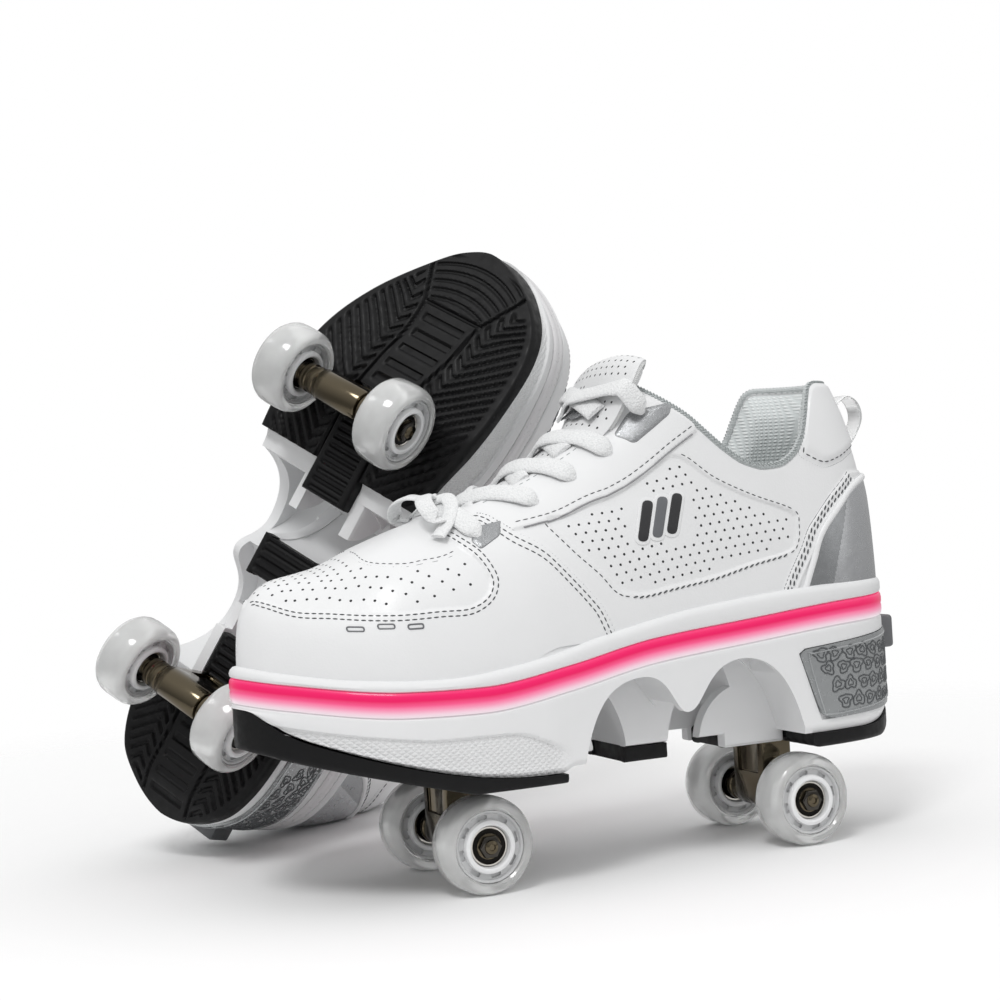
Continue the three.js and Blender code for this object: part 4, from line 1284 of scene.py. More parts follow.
def tongue():
    """The padded tongue: its face and, behind it, its back."""
    sheet, out = TONGUE_SHEET, TONGUE_NORMAL
    n, m = sheet.shape[:2]
    v = np.linspace(-1, 1, m)
    thick = 6.5 * (1 - np.abs(v)[None, :] ** 6) ** 0.5 * np.ones((n, 1))
    thick *= (0.55 + 0.8 * step(0.5, 0.85, TONGUE_SHARE))[:, None]
    ends = np.clip(np.minimum(np.arange(n), n - 1 - np.arange(n)) / 4, 0, 1)
    thick = thick * np.sqrt(np.clip(1 - (1 - ends) ** 2, 0.02, 1))[:, None]
    return Form().add(*slab(sheet, sheet - out * thick[..., None]))


def tongue_trim():
    """Edge piping and the perforations of the tongue."""
    edge, holes = Form(), Form()
    n, m = TONGUE_SHEET.shape[:2]
    start = int(np.searchsorted(TONGUE_SHARE, 0.62))
    ids = ([(i, 1) for i in range(start, n - 2)] + [(n - 2, j) for j in range(1, m - 1)]
           + [(i, m - 2) for i in range(n - 3, start, -1)])
    path = np.array([TONGUE_SHEET[i, j] - TONGUE_NORMAL[i, j] * 1.6 for i, j in ids])
    edge.add(*tube(resample(path, 1.5), 1.3, 8))
    for k, share in enumerate(np.arange(0.02, 0.95, 0.033)):
        i = int(np.argmin(abs(TONGUE_SHARE - share)))
        width = abs(TONGUE_SHEET[i, -1, 1])
        for y in np.arange(-28, 28, 4.8) + (k % 2) * 2.4:
            if abs(y) > width - 3.2 or (0.66 < share < 0.78 and abs(y + 3) < 10):
                continue
            j = int(np.argmin(abs(TONGUE_SHEET[i, :, 1] - y)))
            normal = TONGUE_NORMAL[i, j][None]
            perforate(holes, TONGUE_SHEET[i, j][None], np.cross(normal, [0.1, 1, 0]), normal)
    return edge, holes


emit("tongue", tongue(), "shoe", [LEATHER_PANEL], ("tongue",), angle=60)
edge, tongue_holes = tongue_trim()
emit("tongue_edge", edge, "shoe", [FABRIC])
# The tongue's perforations: dark domes of painted shade.
emit("tongue_perforations", tongue_holes, "shoe", [HOLE_SHADE])

# Laces: eyelets as (x, y, z) on the lateral eyestay, from the toe up.
EYELETS = [(-68, -29, 143), (-43, -27, 156), (-24, -26, 165), (-7, -26, 175), (12, -26, 187)]
LACE_WIDTH, LACE_THICK = 9.4, 1.7
SPAN = 44  # points along one span of lace
THROAT_UP = np.array([-0.52, 0.0, 0.854])


def eyelet(k, side):
    """Position and normal of eyelet k; the medial ones mirror the lateral ones."""
    where = find(EYELETS[k])[None]
    position, normal = on_layers(where, side)
    return position[0], normal[0]


def tongue_spot(x, y):
    """A point on the tongue's face near (x, y)."""
    flat = TONGUE_SHEET.reshape(-1, 3)
    i = int(np.argmin((flat[:, 0] - x) ** 2 + (flat[:, 1] - y) ** 2))
    return flat[i] + TONGUE_NORMAL.reshape(-1, 3)[i] * 0.6


def upper_hull(points):
    """The taut line over a row of (distance, height) points."""
    hull = []
    for p in points:
        while len(hull) > 1:
            (ax, ay), (bx, by) = hull[-2], hull[-1]
            if (bx - ax) * (p[1] - ay) < (by - ay) * (p[0] - ax):
                break
            hull.pop()
        hull.append(tuple(p))
    return np.array(hull)


def taut(start, end, obstacles, lift):
    """A band's centre line pulled tight over whatever lies between two points."""
    d = end - start
    length = np.linalg.norm(d)
    along = d / length
    up = unit(THROAT_UP - along * (THROAT_UP @ along))
    aside = np.cross(along, up)
    rel = obstacles - start
    u, h, s = rel @ along, rel @ up, rel @ aside
    rows = [(0.0, lift)]
    for k in np.arange(1.5, length - 1.5, 1.0):
        near = (np.abs(u - k) < 0.8) & (np.abs(s) < 2.6) & (h < 30) & (h > -14)
        if near.any():
            rows.append((k, h[near].max() + lift))
    rows.append((length, lift))
    hull = upper_hull(rows)
    t = np.linspace(0, length, SPAN)
    z = np.interp(t, hull[:, 0], hull[:, 1])
    z = np.convolve(np.pad(z, 3, "edge"), np.ones(7) / 7, "valid")
    return start + along * t[:, None] + up * z[:, None], up


def lace_band(form, path, normal, tip_start, tip_end=False):
    """A woven band; a tip narrows, rounds over and sinks into its eyelet."""
    d = lengths(path)
    width = np.full(len(path), LACE_WIDTH)
    path = path.copy()
    for tip, reach in ((tip_start, d), (tip_end, d[-1] - d)):
        if tip:
            k = np.clip(1 - reach / 5.0, 0, 1)
            width *= np.sqrt(np.clip(1 - 0.9 * k**2, 0.05, 1))
            path -= normal * (2.6 * k**3)[:, None]
    form.add(*strap(path, normal, width, LACE_THICK, 0.7))


def laces():
    """Spans from each eyelet into the throat, the lowest span, and the bow on it."""
    form, skin = Form(), {}
    for side in FLANKS:
        rows = (STATION > -92) & (STATION < 40)
        points = SKINS[side][rows] + NORMALS[side][rows] * 1.6
        skin[side] = points[points[..., 2] > 118]
    placed = TONGUE_SHEET.reshape(-1, 3)
    for k in range(1, len(EYELETS)):
        for side, sign in reversed(FLANKS.items()):
            a, na = eyelet(k, side)
            x = EYELETS[k - 1][0] + 3
            edge = -sign * (float(throat_half(x)) + 1.5)
            b = tongue_spot(x, edge)
            outward = unit(a - b)
            start = a + (outward - na * (outward @ na)) * 3.0
            path, up = taut(start, b, np.vstack([placed, skin[side]]), 1.1)
            blend = step(4, 16, np.linspace(0, np.linalg.norm(b - start), SPAN))[:, None]
            tangent = unit(np.gradient(path, axis=0))
            normal = na * (1 - blend) + unit(up + (0, 0.45 * sign, 0)) * blend
            normal = unit(normal - tangent * np.sum(normal * tangent, 1)[:, None])
            lace_band(form, path, normal, True)
            crest = (path + normal * 0.9)[12:36]
            placed = np.vstack([placed, crest, crest + (1.5, 0, 1), crest - (1.5, 0, 1)])
    both = np.vstack([placed, skin["lateral"], skin["medial"]])
    a, na = eyelet(0, "lateral")
    b, nb = eyelet(0, "medial")
    path, up = taut(a, b, both, 1.2)
    ends = np.abs(np.linspace(-1, 1, SPAN))[:, None] ** 3
    tangent = unit(np.gradient(path, axis=0))
    normal = up * (1 - ends) + np.where(np.arange(SPAN)[:, None] < SPAN // 2, na, nb) * ends
    normal = unit(normal - tangent * np.sum(normal * tangent, 1)[:, None])
    lace_band(form, path, normal, True, True)
    knot = path[SPAN // 2] + up * 1.6
    turn = np.linspace(0, 2 * math.pi, 40)
    ring = knot + np.stack([4.4 * np.cos(turn), 0 * turn, 2.6 * np.sin(turn)], 1)
    form.add(*strap(ring[:-1], ring[:-1] - knot, 7.0, 1.6, 0.3))
    for sign in (-1, 1):
        ears = [(-1, 2, 2.2), (-6, 9, 3.4), (-9, 17, 0.5), (-7, 22, -5), (-2, 19, -7)]
        tails = [(1, 2, 1.5), (4, 9, 2.5), (3, 16, -1.0), (-2, 23, -7.5), (-8, 27, -13)]
        for k, row in enumerate((ears, tails)):
            curve = spline([knot + (x, sign * y, z) for x, y, z in row], 1.0)
            tangent = unit(np.gradient(curve, axis=0))
            lean = np.array([-0.45, sign * 0.45, 0.85])
            normal = unit(lean - tangent * (tangent @ lean)[:, None])
            form.add(*strap(curve, normal, 7.4 - k, 1.5, 0.5))
    return form


emit("laces", laces(), "shoe", [LACE], ("laces",), angle=50)


def lace_keeper():
    """A glitter band across the tongue that holds the laces."""
    path = np.array([tongue_spot(-5 + 0.12 * abs(y), y) for y in np.linspace(-15, 15, 31)])
    normal = np.broadcast_to(unit(np.array([-0.6, 0, 0.8])), path.shape)
    return Form().add(*strap(path, normal, 8.0, 0.9, 0.2))


emit("lace_keeper", lace_keeper(), "shoe", [GLITTER])


def plate(form, outline, scales, levels, side, material=0):
    """A small raised plate on the skin: an (s, h) outline shrunk by scales, each at its level."""
    middle, m = outline.mean(0), len(outline)
    rings = [middle[None]] + [middle + (outline - middle) * scale for scale in scales]
    verts = np.vstack([on_layers(r, side, level)[0] for r, level in zip(rings, levels)])
    faces = [(0, 1 + i, 1 + (i + 1) % m) for i in range(m)]
    for a in range(1, 1 + (len(scales) - 1) * m, m):
        faces += [(a + i, a + m + i, a + m + (i + 1) % m, a + (i + 1) % m) for i in range(m)]
    faces.append(tuple(reversed(range(len(verts) - m, len(verts)))))
    area = np.sum(outline[:, 0] * np.roll(outline[:, 1], -1)
                  - np.roll(outline[:, 0], -1) * outline[:, 1])
    if (area < 0) == (side == "lateral"):
        faces = [f[::-1] for f in faces]
    form.add(verts, faces, material)


def eyelet_patches():
    """Glitter foil patches under the first and the last eyelet."""
    form = Form()
    last = rounded([(-13, -2), (-4, 6.5), (13, 5.5), (12, 0.5), (-6, -9)], 2.2)
    first = rounded([(0, 6.5), (10.5, 4.5), (8, -2), (-2, -5.5), (-4.5, 0)], 1.6)
    for side in FLANKS:
        for k, outline in ((4, last), (0, first)):
            plate(form, find(EYELETS[k]) + outline, (0.35, 0.65, 0.9, 1, 1),
                  (0.45, 0.45, 0.45, 0.4, -0.1, -0.5), side)
    return form


emit("eyelet_patches", eyelet_patches(), "shoe", [GLITTER])


def badge_plate(form, outline, height, material):
    """One bar of the badge, on the lateral side."""
    plate(form, outline, (0.6, 0.92, 1, 1), (height, height, height, height - 0.15, -0.4),
          "lateral", material)


def generic_mark():
    """A plain badge of three rounded bars on a pale rim, and three toe vents."""
    form, vents = Form(), Form()
    centre = find((11, -37, 147))

    length, width, lean = 17, 5, 1.25

    def bar(s, grow=0.0):
        l, w = length / 2 + grow, width / 2 + grow
        p = rounded([(-l, -w), (l, -w), (l, w), (-l, w)], w * 0.9)
        c, k = math.cos(lean), math.sin(lean)
        return centre + (s, 0) + p @ np.array([[c, k], [-k, c]])

    for s, material in ((-7, 1), (0, 2), (7, 1)):
        badge_plate(form, bar(s, 1.3), 0.5, 0)
        badge_plate(form, bar(s), 0.8, material)
    for side in FLANKS:
        for x, y in ((-123.5, -28.5), (-112.5, -34.0), (-101.5, -38)):
            c = find((x, y, 110.6))
            p = rounded([(-2.9, -0.9), (2.9, -0.9), (2.9, 0.9), (-2.9, 0.9)], 0.9)
            rim = np.vstack([c + p, c + p[:1]])
            path, _ = on_layers(rim, side, 0.05)
            vents.add(*tube(path[:-1], 0.34, 6, closed=True))
    return form, vents


mark, vents = generic_mark()
emit("side_badge", mark, "shoe", [MARK_PALE, MARK_DARK, MARK_GREY_AND_EDGE_SHADOW])
emit("toe_vents", vents, "shoe", [MARK_GREY_AND_EDGE_SHADOW])


LOOP_CLEARANCE = 3.8


def pull_loop(side):
    """The clear loop behind the heel, folded flat where it would reach below the floor."""
    path = spline([(117, 0, 176), (121, 0, 184), (124.5, 0, 192), (130, 0, 195.5),
                   (135.5, 0, 192), (137, 0, 185), (133, 0, 177), (127, 0, 170.5),
                   (123, 0, 166)], 0.8)
    slope = FRAMES[side][2, :3] / MM
    height = path @ slope + FRAMES[side][2, 3] / MM
    lack = np.clip(LOOP_CLEARANCE - height, 0, None)[:, None]
    path = path + lack * slope * (1, 0, 1) / (slope[0] ** 2 + slope[2] ** 2)
    t = unit(np.gradient(path, axis=0))
    normal = np.stack([-t[:, 2], t[:, 1], t[:, 0]], 1)
    return Form().add(*strap(path, normal, 11.0, 0.9))


for side in SIDES:
    emit("pull_loop", pull_loop(side), "shoe", [CLEAR], sides=(side,))


# -------------------------------------------------------------------- sole

HALF_RING = 250


def matched_ring(count=HALF_RING):
    """The sole's outline with lateral and medial points paired at equal x, and its normals."""
    lateral, medial = plan_sides(0.0)
    x0, x1 = lateral[0, 0], lateral[-1, 0]
    x = x0 + (x1 - x0) * (1 - np.cos(np.linspace(0, math.pi, count + 1))) / 2
    low = np.stack([x, edge_y(lateral, x)], 1)
    high = np.stack([x, edge_y(medial, x)], 1)
    ring = np.vstack([low, high[1:-1][::-1]])
    t = unit(np.roll(ring, -1, 0) - np.roll(ring, 1, 0))
    return ring, np.stack([t[:, 1], -t[:, 0]], 1)


RING_XY, RING_OUT = matched_ring()


def ladder(ring_size, offset, flip):
    """Cap faces that join the paired points of a matched ring."""
    faces = []
    for k in range(ring_size // 2):
        rung = (k, k + 1, ring_size - k - 1, (ring_size - k) % ring_size)
        face = tuple(v + offset for v in dict.fromkeys(rung))
        faces.append(face[::-1] if flip else face)
    return faces


def walled(rings):
    """A closed solid from rings of points that run from its top to its bottom."""
    n, m = len(rings), len(rings[0])
    faces = [tuple(f) for f in grid_faces(n, m, False, True)]
    faces += ladder(m, 0, False) + ladder(m, (n - 1) * m, True)
    return Form().add(np.vstack(rings), faces)


MIDSOLE_FOOT = TOE_SEAM[:-1] + [(-46, 47.2), (-40, RUBBER_TOP), (106, RUBBER_TOP), (125, 52),
                                (145, 60)]


def midsole_walls():
    """The midsole before any cut: its lip, the light strip's channel, the wall down to the foot."""
    x = RING_XY[:, 0]
    rim, strip = smooth(FOXING_TOP, x), smooth(STRIP_TOP, x)
    foot, wave = smooth(MIDSOLE_FOOT, x), smooth(WAVE, x)
    under = strip - STRIP_HEIGHT
    floor_z = smooth(FLOOR, x)
    raised = np.maximum(rim - 0.4, floor_z + 1.2)
    lip = [(-8.5, floor_z + 0.1), (-8.2, raised - 0.6), (-7.4, raised), (-4.4, raised),
           (-3.9, np.maximum(rim - 0.3, floor_z + 0.7)), (-3.5, rim - 0.1), (-2.5, rim),
           (-1.1, rim - 0.35),
           (0.0, rim - 1.4), (0.5, rim - 2.8), (0.5, strip + 1.6), (0.2, strip + 0.6),
           (-0.6, strip + 0.15), (-2.3, strip + 0.1), (-2.4, strip - 5), (-2.3, under - 0.1),
           (-0.6, under - 0.2), (0.1, under - 0.8), (0.3, under - 1.6)]
    rings = [(np.full(len(x), float(o)), z) for o, z in lip]
    front = 1 - step(-52, -40, x)
    for t in np.linspace(0, 1, 46)[1:]:
        z = (under - 1.6) * (1 - t) + foot * t
        above_wave = step(-0.5, 0.5, z - wave)
        o = 0.3 + 0.7 * math.sin(math.pi * min(1, t * 1.2)) * front
        o = o - front * 1.15 * (1 - above_wave) - 0.5 * (1 - front) * step(0.2, 1, t)
        o = o - 1.4 * max(0, t - 0.93) / 0.07
        rings.append((o, z))
    return walled([np.column_stack([RING_XY + RING_OUT * o[:, None], z]) for o, z in rings])


def bezier(a, b, c, d, count=24):
    """A cubic curve from a to d, without its last point."""
    t = np.linspace(0, 1, count, endpoint=False)[:, None]
    a, b, c, d = (np.array(p, float) for p in (a, b, c, d))
    return a * (1 - t) ** 3 + 3 * b * t * (1 - t) ** 2 + 3 * c * t * t * (1 - t) + d * t**3


def arch_outline():
    """The (x, z) outline of the open arches between the treads."""
    return np.vstack([
        [(-37, 30)], bezier((-35, 53), (-30, 72), (-22, 82), (-6, 82)),
        bezier((-6, 82), (7, 82), (8, 65.5), (14.5, 65.3)),
        bezier((14.5, 65.3), (23, 65.3), (24, 85), (43, 85)),
        bezier((43, 85), (61, 85), (68, 68), (72.6, 50)), [(72.6, 50), (74, 30)]])


# Each truck: the side its pad lies to, its pin's x, and the reach from pin to axle.
TRUCKS = {"front": (1, FRONT_PIN_X, AXLE_X + FRONT_PIN_X), "rear": (-1, REAR_PIN_X, AXLE_X - REAR_PIN_X)}
WELL_INNER, WELL_OUTER, AXLE_SLOT = 21.0, 41.3, 22.0


def fan(truck, inner, outer, start, end):
    """A fan about the truck's pin; angles in degrees, mirrored for the rear truck."""
    side, pin, _ = TRUCKS[truck]
    angle = np.radians(np.arange(start, end + 2.4, 2.5).clip(start, end))
    arc = lambda r, a: np.stack([pin + side * r * np.cos(a), PIN_Z + r * np.sin(a)], 1)
    if inner <= 0:
        return np.vstack([arc(outer, angle), [(pin, PIN_Z)]])
    return np.vstack([arc(outer, angle), arc(inner, angle[::-1])])


def disc(x, z, radius, count=40):
    a = np.linspace(0, 2 * math.pi, count, endpoint=False)
    return np.stack([x + radius * np.cos(a), z + radius * np.sin(a)], 1)


def sweeps(truck):
    """The room that a flipping truck needs, as separate cutters."""
    side, pin, reach = TRUCKS[truck]
    slot = PAD_HALF_WIDTH + SWEEP_GAP / 2
    wide = LEG_HALF + SWEEP_GAP
    orbit = math.hypot(reach, PIN_Z - AXLE_Z)
    start = math.degrees(math.atan2(AXLE_Z - PIN_Z, -reach))
    boss = math.degrees(math.asin(wide / orbit))
    leg_radius = math.hypot(reach + LEG_HALF, PAD_HALF_THICK) + SWEEP_GAP
    pad_radius = math.hypot(reach - LEG_HALF - 0.3, PAD_HALF_THICK) + SWEEP_GAP
    axle = pin - side * reach
    stowed = (pin + side * reach, 2 * PIN_Z - AXLE_Z)

    def orbit_fan(half, margin):
        return fan(truck, orbit - half, orbit + half, start - margin, start + 180 + margin)

    cutters = [
        (disc(pin, PIN_Z, pad_radius), -slot, slot),
        (np.array([(axle - wide, 0), (axle + wide, 0), (axle + wide, 52), (axle - wide, 52)]),
         -slot, slot),
        (fan(truck, 0, leg_radius, -180, start + 180), -slot, slot),
        (fan(truck, 0, orbit + wide, start - boss, start + 180 + boss), -slot, slot),
        (disc(*stowed, wide), -slot, slot),
        (orbit_fan(COLLAR_RADIUS + SWEEP_GAP, boss), -AXLE_SLOT, AXLE_SLOT),
    ]
    wheel = WHEEL_RADIUS + SWEEP_GAP
    for low, high in ((-WELL_OUTER, -WELL_INNER), (WELL_INNER, WELL_OUTER)):
        cutters += [(orbit_fan(wheel, 0), low, high), (disc(*stowed, wheel, 56), low, high)]
    return [Form().add(*prism(p, a, b)) for p, a, b in cutters]


def box_form(x, y, z, bevel=0.0):
    """A block from three (low, high) ranges, its edges rounded."""
    p = rounded([(x[0], z[0]), (x[1], z[0]), (x[1], z[1]), (x[0], z[1])], bevel)
    return Form().add(*prism(p, y[0], y[1], bevel=bevel))


def panel_side(grow):
    """The heel panel's (x, z) outline, grown on its free edges."""
    return np.array([(71 - grow, 84 + grow), (74 - grow, 86 + grow), (100, 88 + grow),
                     (150, 92 + grow), (150, 62 - grow), (122, 56 - grow), (81 - grow, 55 - grow)])


def ring_solid(offset, low, high):
    """The sole's outline, offset, as a solid between two heights."""
    xy = RING_XY + RING_OUT * offset
    return walled([np.column_stack([xy, np.full(len(xy), float(z))]) for z in (high, low)])


def wave_shade(form):
    """The diamond panel's share, from the wave line."""
    p = form.points()
    front = 1 - step(-52, -40, p[:, 0])
    form.s = [front * (1 - step(-0.6, 0.2, p[:, 2] - smooth(WAVE, p[:, 0])))]
    return form


SPINE_HALF = 19.5
SWEEPS = {truck: sweeps(truck) for truck in TRUCKS}
ALL_SWEEPS = SWEEPS["front"] + SWEEPS["rear"]


def midsole():
    """The walls cut by the arches, joined to the spine, then cut for trucks, panel and button."""
    spine = [box_form((-46, 76), (-SPINE_HALF, SPINE_HALF), (49.8, 90), 2.0),
             box_form((46, 76), (-SPINE_HALF, SPINE_HALF), (44, 60), 1.0)]
    panel_recess = boolean(Form().add(*prism(panel_side(0.3), -60, 60)),
                           cuts([ring_solid(-1.6, 40, 110)]))
    button_hole = box_form((126, 150), (-12.3, 12.3), (78.7, 94.8), 0.8)
    arches = Form().add(*prism(arch_outline(), -80, 80))
    return wave_shade(boolean(midsole_walls(), [
        *cuts([arches]), *(("UNION", block) for block in spine),
        *cuts([*ALL_SWEEPS, panel_recess, button_hole])]))


emit("midsole", midsole(), "shoe", [FOAM], ("midsole",), angle=32)


def light_strip():
    """The light guide in its channel, shaded from its lower edge (0) to its upper (1)."""
    x = RING_XY[:, 0]
    top = smooth(STRIP_TOP, x)
    section = [(-1.7, -0.2), (0.0, -0.2), (0.45, -0.8), (0.75, -2.4), (0.7, -4.2), (0.4, -5.0),
               (0.65, -5.8), (0.7, -7.6), (0.4, -9.2), (0.0, -9.8), (-1.7, -9.8)]
    verts = [np.column_stack([RING_XY + RING_OUT * o, top + dz]) for o, dz in section]
    tone = [np.full(len(x), 1 + dz / STRIP_HEIGHT) for _, dz in section]
    faces = grid_faces(len(section), len(x), True, True)
    return Form().add(np.vstack(verts), faces, 0, np.concatenate(tone))


for side, finish in (("left", LIGHT), ("right", LIGHT_OFF)):
    emit("light_strip", light_strip(), "shoe", [finish], ("light_strip",), (side,))


def heel_path():
    """The outline from side to side round the heel, its normals and its length from the middle."""
    turn = len(RING_XY) // 2 - int(np.argmax(RING_XY[:, 0]))
    path, out = np.roll(RING_XY, turn, axis=0), np.roll(RING_OUT, turn, axis=0)
    d = lengths(path)
    return path, out, d - d[len(RING_XY) // 2]


HEEL_XY, HEEL_OUT, HEEL_S = heel_path()


def wall_point(s, z, lift):
    """A point on the heel's wall at path length s from the middle of the heel."""
    xy, n = rows_at(s, HEEL_S, HEEL_XY), unit(rows_at(s, HEEL_S, HEEL_OUT))
    return np.column_stack([xy + n * lift, z])


def wall_reach(x):
    """The path length from the middle of the heel to x."""
    half = len(RING_XY) // 2
    return float(np.interp(-x, -HEEL_XY[half:, 0], HEEL_S[half:]))


def heel_panel():
    """A thin shell over the heel's wall, open round the button."""
    outline = rounded(panel_side(0.0), [6, 4, 8, 1, 1, 8, 7])
    button_room = box_form((120, 150), (-12.9, 12.9), (78.2, 99), 0.8)
    return boolean(Form().add(*prism(outline, -60, 60)),
                   [("INTERSECT", ring_solid(0.9, 40, 110)),
                    *cuts([ring_solid(-1.3, 30, 120), button_room])])


def panel_relief():
    """A raised border and rows of pebble outlines."""
    form = Form()
    top, foot = wall_reach(75.5), wall_reach(83.5)
    edge = [(-top, 82.5), (-top + 3, 84), (-58, 85.6), (-34, 87.6), (-18, 88.8), (-15.5, 86),
            (-16, 64), (-18, 62), (-40, 58.8), (-60, 57.4), (-foot, 57), (-foot - 2, 59.5)]
    rng = np.random.default_rng(11)
    for sign in (1, -1):
        line = spline([(sign * s, z) for s, z in edge], 1.0, closed=True)[:-1]
        form.add(*tube(wall_point(line[:, 0], line[:, 1], 0.95), 0.5, 6, closed=True))
        for row, z in enumerate((62.0, 69.4, 76.8, 83.0)):
            low = -top + (83 - z) / 25 * (top - foot)
            for column in range(12):
                s = -19 - column * 7.9 - (row % 2) * 3.9 + rng.uniform(-0.5, 0.5)
                if s < low + 3.6:
                    continue
                size, turn = rng.uniform(2.5, 3.1), rng.uniform(0, 6.3)
                a = np.linspace(0, 2 * math.pi, 40, endpoint=False)
                for scale in (1.0, 0.45):
                    r = size * scale * (1 + 0.2 * np.sin(3 * a + turn) + 0.1 * np.sin(5 * a))
                    u = (s + 1.18 * r * np.cos(a)).clip(low + 1, -17.5)
                    w = (z + r * np.sin(a)).clip(58.8, 86.2)
                    p = wall_point(sign * u, w, 0.9)
                    form.add(*tube(p, 0.38 * (0.6 + 0.4 * scale), 6, closed=True), material=1)
    return form


emit("heel_panel", heel_panel(), "shoe", [PANEL], ("heel_panel",), angle=35)
emit("heel_panel_relief", panel_relief(), "shoe",
     [PANEL, plain_finish("panel_line", (0.09, 0.095, 0.1), 0.4, metal=0.2)])


# ------------------------------------------------------------------- treads


def pillow(x, low, high, top, bottom, pattern, across=120, edge=2.2, both=False, ends=1.2):
    """A rubber block between two edges in plan, its underside moulded by a pattern."""
    t = np.linspace(-1, 1, across)
    t = np.sign(t) * (1 - (1 - np.abs(t)) ** 1.15)
    y = (low + high)[:, None] / 2 + (high - low)[:, None] / 2 * t[None, :]
    half = (high - low)[:, None] / 2
    near = np.clip(np.minimum((1 - np.abs(t))[None, :] * half, 99), 0, None)
    near_end = np.minimum(x - x[0], x[-1] - x)[:, None] if ends else 99.0
    soft = lambda d, r: r * (1 - np.sqrt(np.clip(1 - (1 - np.clip(d / r, 0, 1)) ** 2, 0, 1)))
    round_off = np.maximum(soft(near, edge), soft(near_end, ends) if ends else 0)
    groove = pattern(np.broadcast_to(x[:, None], y.shape), y) * step(0.5, 2.5, near)
    z_low = bottom[:, None] + round_off + groove
    z_high = np.broadcast_to(top[:, None], y.shape).copy()
    if both:
        z_high = z_high - round_off - groove
    z_low = np.minimum(z_low, z_high - 0.05)
    xx = np.broadcast_to(x[:, None], y.shape)
    return Form().add(*slab(np.stack([xx, y, z_high], -1), np.stack([xx, y, z_low], -1)))


def bars(u, pitch, width, soft=0.45):
    """1 in grooves of the given width repeated along u, 0 on the ridges."""
    d = np.abs((u / pitch) % 1.0 - 0.5) * pitch
    return 1 - step(width / 2 - soft, width / 2 + soft, d)


def sole_edges(x, inset=0.0):
    """The lateral and medial y of the outline at x."""
    lateral, medial = plan_sides(-inset)
    return edge_y(lateral, x), edge_y(medial, x)


STRIP_HALF = [(-165, 30), (-152, 27), (-140, 21), (-129, 16), (-105, 14.5), (-84, 13.5),
              (-44, 13.5)]


GROOVE_DEPTH = 1.5
RUNG_PITCH, RUNG_WIDTH = 8.6, 3.6
CHEVRON_PITCH, CHEVRON_WIDTH, CHEVRON_SLOPE = 6.0, 2.5, 0.95


def edge_pattern(x, y, outside, direction):
    """The groove beside the middle strip, and the chevrons from it out to the rim."""
    low, high = sole_edges(x[:, 0])
    rim = np.minimum(y - low[:, None], high[:, None] - y)
    zigzag = direction * x + CHEVRON_SLOPE * np.abs(outside - 7.5)
    chevron = bars(zigzag, CHEVRON_PITCH, CHEVRON_WIDTH) * step(2, 3, outside) * step(4, 6, rim)
    return 1 - step(0.5, 1.1, np.abs(outside)), chevron


def forefoot_pattern(x, y):
    """Rungs and toe arcs along the middle, chevrons on both sides."""
    centre = smooth([(-165, 9), (-120, 8), (-84, 2), (-44, 0)], x)
    w = np.abs(y - centre)
    strip = smooth(STRIP_HALF, x)
    outside = w - strip
    line, chevron = edge_pattern(x, y, outside, 1)
    rung = bars(x + 129, RUNG_PITCH, RUNG_WIDTH) * step(0, 1, strip - 3.4 - w)
    rung = rung * step(-129.5, -128.5, x) * (1 - step(-88, -87, x))
    arc = bars(x - 0.012 * (y - centre) ** 2, 4.8, 1.7) * step(0, 1, strip - 2 - w)
    arc = arc * (1 - step(-133, -131.5, x)) * step(-159, -156, x)
    chevron = chevron * step(-146, -142, x)
    split = (1 - step(-131.5, -130.7, x)) * step(-133.0, -132.2, x) * (w < strip)
    return GROOVE_DEPTH * np.maximum.reduce([line, 0.8 * rung, 0.7 * arc, 0.85 * chevron, split])


def outsole_front():
    """The forefoot tread, curling up at the toe."""
    k = np.linspace(0, math.pi / 2, 190)
    x = -164.9 + 120.6 * (1 - np.cos(k))
    low, high = sole_edges(x, 0.1)
    top = smooth(TOE_SEAM, x) - 0.3
    bottom = smooth([(-172, 67), (-165, 65), (-150, 60), (-130, 54.5), (-112, 50), (-96, 46),
                     (-82, WALK_Z), (-44, WALK_Z)], x)
    form = pillow(x, low, high, top, bottom, forefoot_pattern, 150, ends=0)
    return boolean(form, cuts(SWEEPS["front"]))


def heel_pattern(x, y):
    outside = np.abs(y) - 14.0
    line, chevron = edge_pattern(x, y, outside, -1)
    rung = bars(x - 88, RUNG_PITCH, RUNG_WIDTH) * step(0, 1, 10.5 - np.abs(y)) * step(88, 89, x)
    plain_end = 1 - step(130, 132, x)
    return GROOVE_DEPTH * np.maximum.reduce([line, 0.8 * rung, 0.85 * chevron]) * plain_end


def outsole_rear():
    """The heel tread."""
    k = np.linspace(0, math.pi / 2, 110)
    x = 76.4 + 60.0 * np.sin(k)
    low, high = sole_edges(x, 0.1)
    top = smooth([(76, RUBBER_TOP - 0.3), (106, RUBBER_TOP - 0.3), (125, 51.7), (145, 59.7)], x)
    bottom = smooth([(76, 44.5), (80, WALK_Z), (118, WALK_Z), (130, 46.5), (145, 52)], x)
    form = pillow(x, low, high, top, bottom, heel_pattern, 130, ends=0)
    return boolean(form, cuts(SWEEPS["rear"]))


BLOCK_PITCH = 4.3


def block_tread(x0, x1, half, low, high, both=False):
    """A rectangular tread with straight grooves across it."""
    x = np.linspace(x0, x1, 70)
    level = lambda value: np.full(len(x), value)
    pattern = lambda px, py: 1.2 * bars(px - (x0 + x1) / 2 + BLOCK_PITCH / 2, BLOCK_PITCH, 1.9) * (
        step(0, 1, half - 3.0 - np.abs(py)))
    return pillow(x, level(-half), level(half), level(high), level(low), pattern, 60, edge=1.6,
                  both=both, ends=1.6)


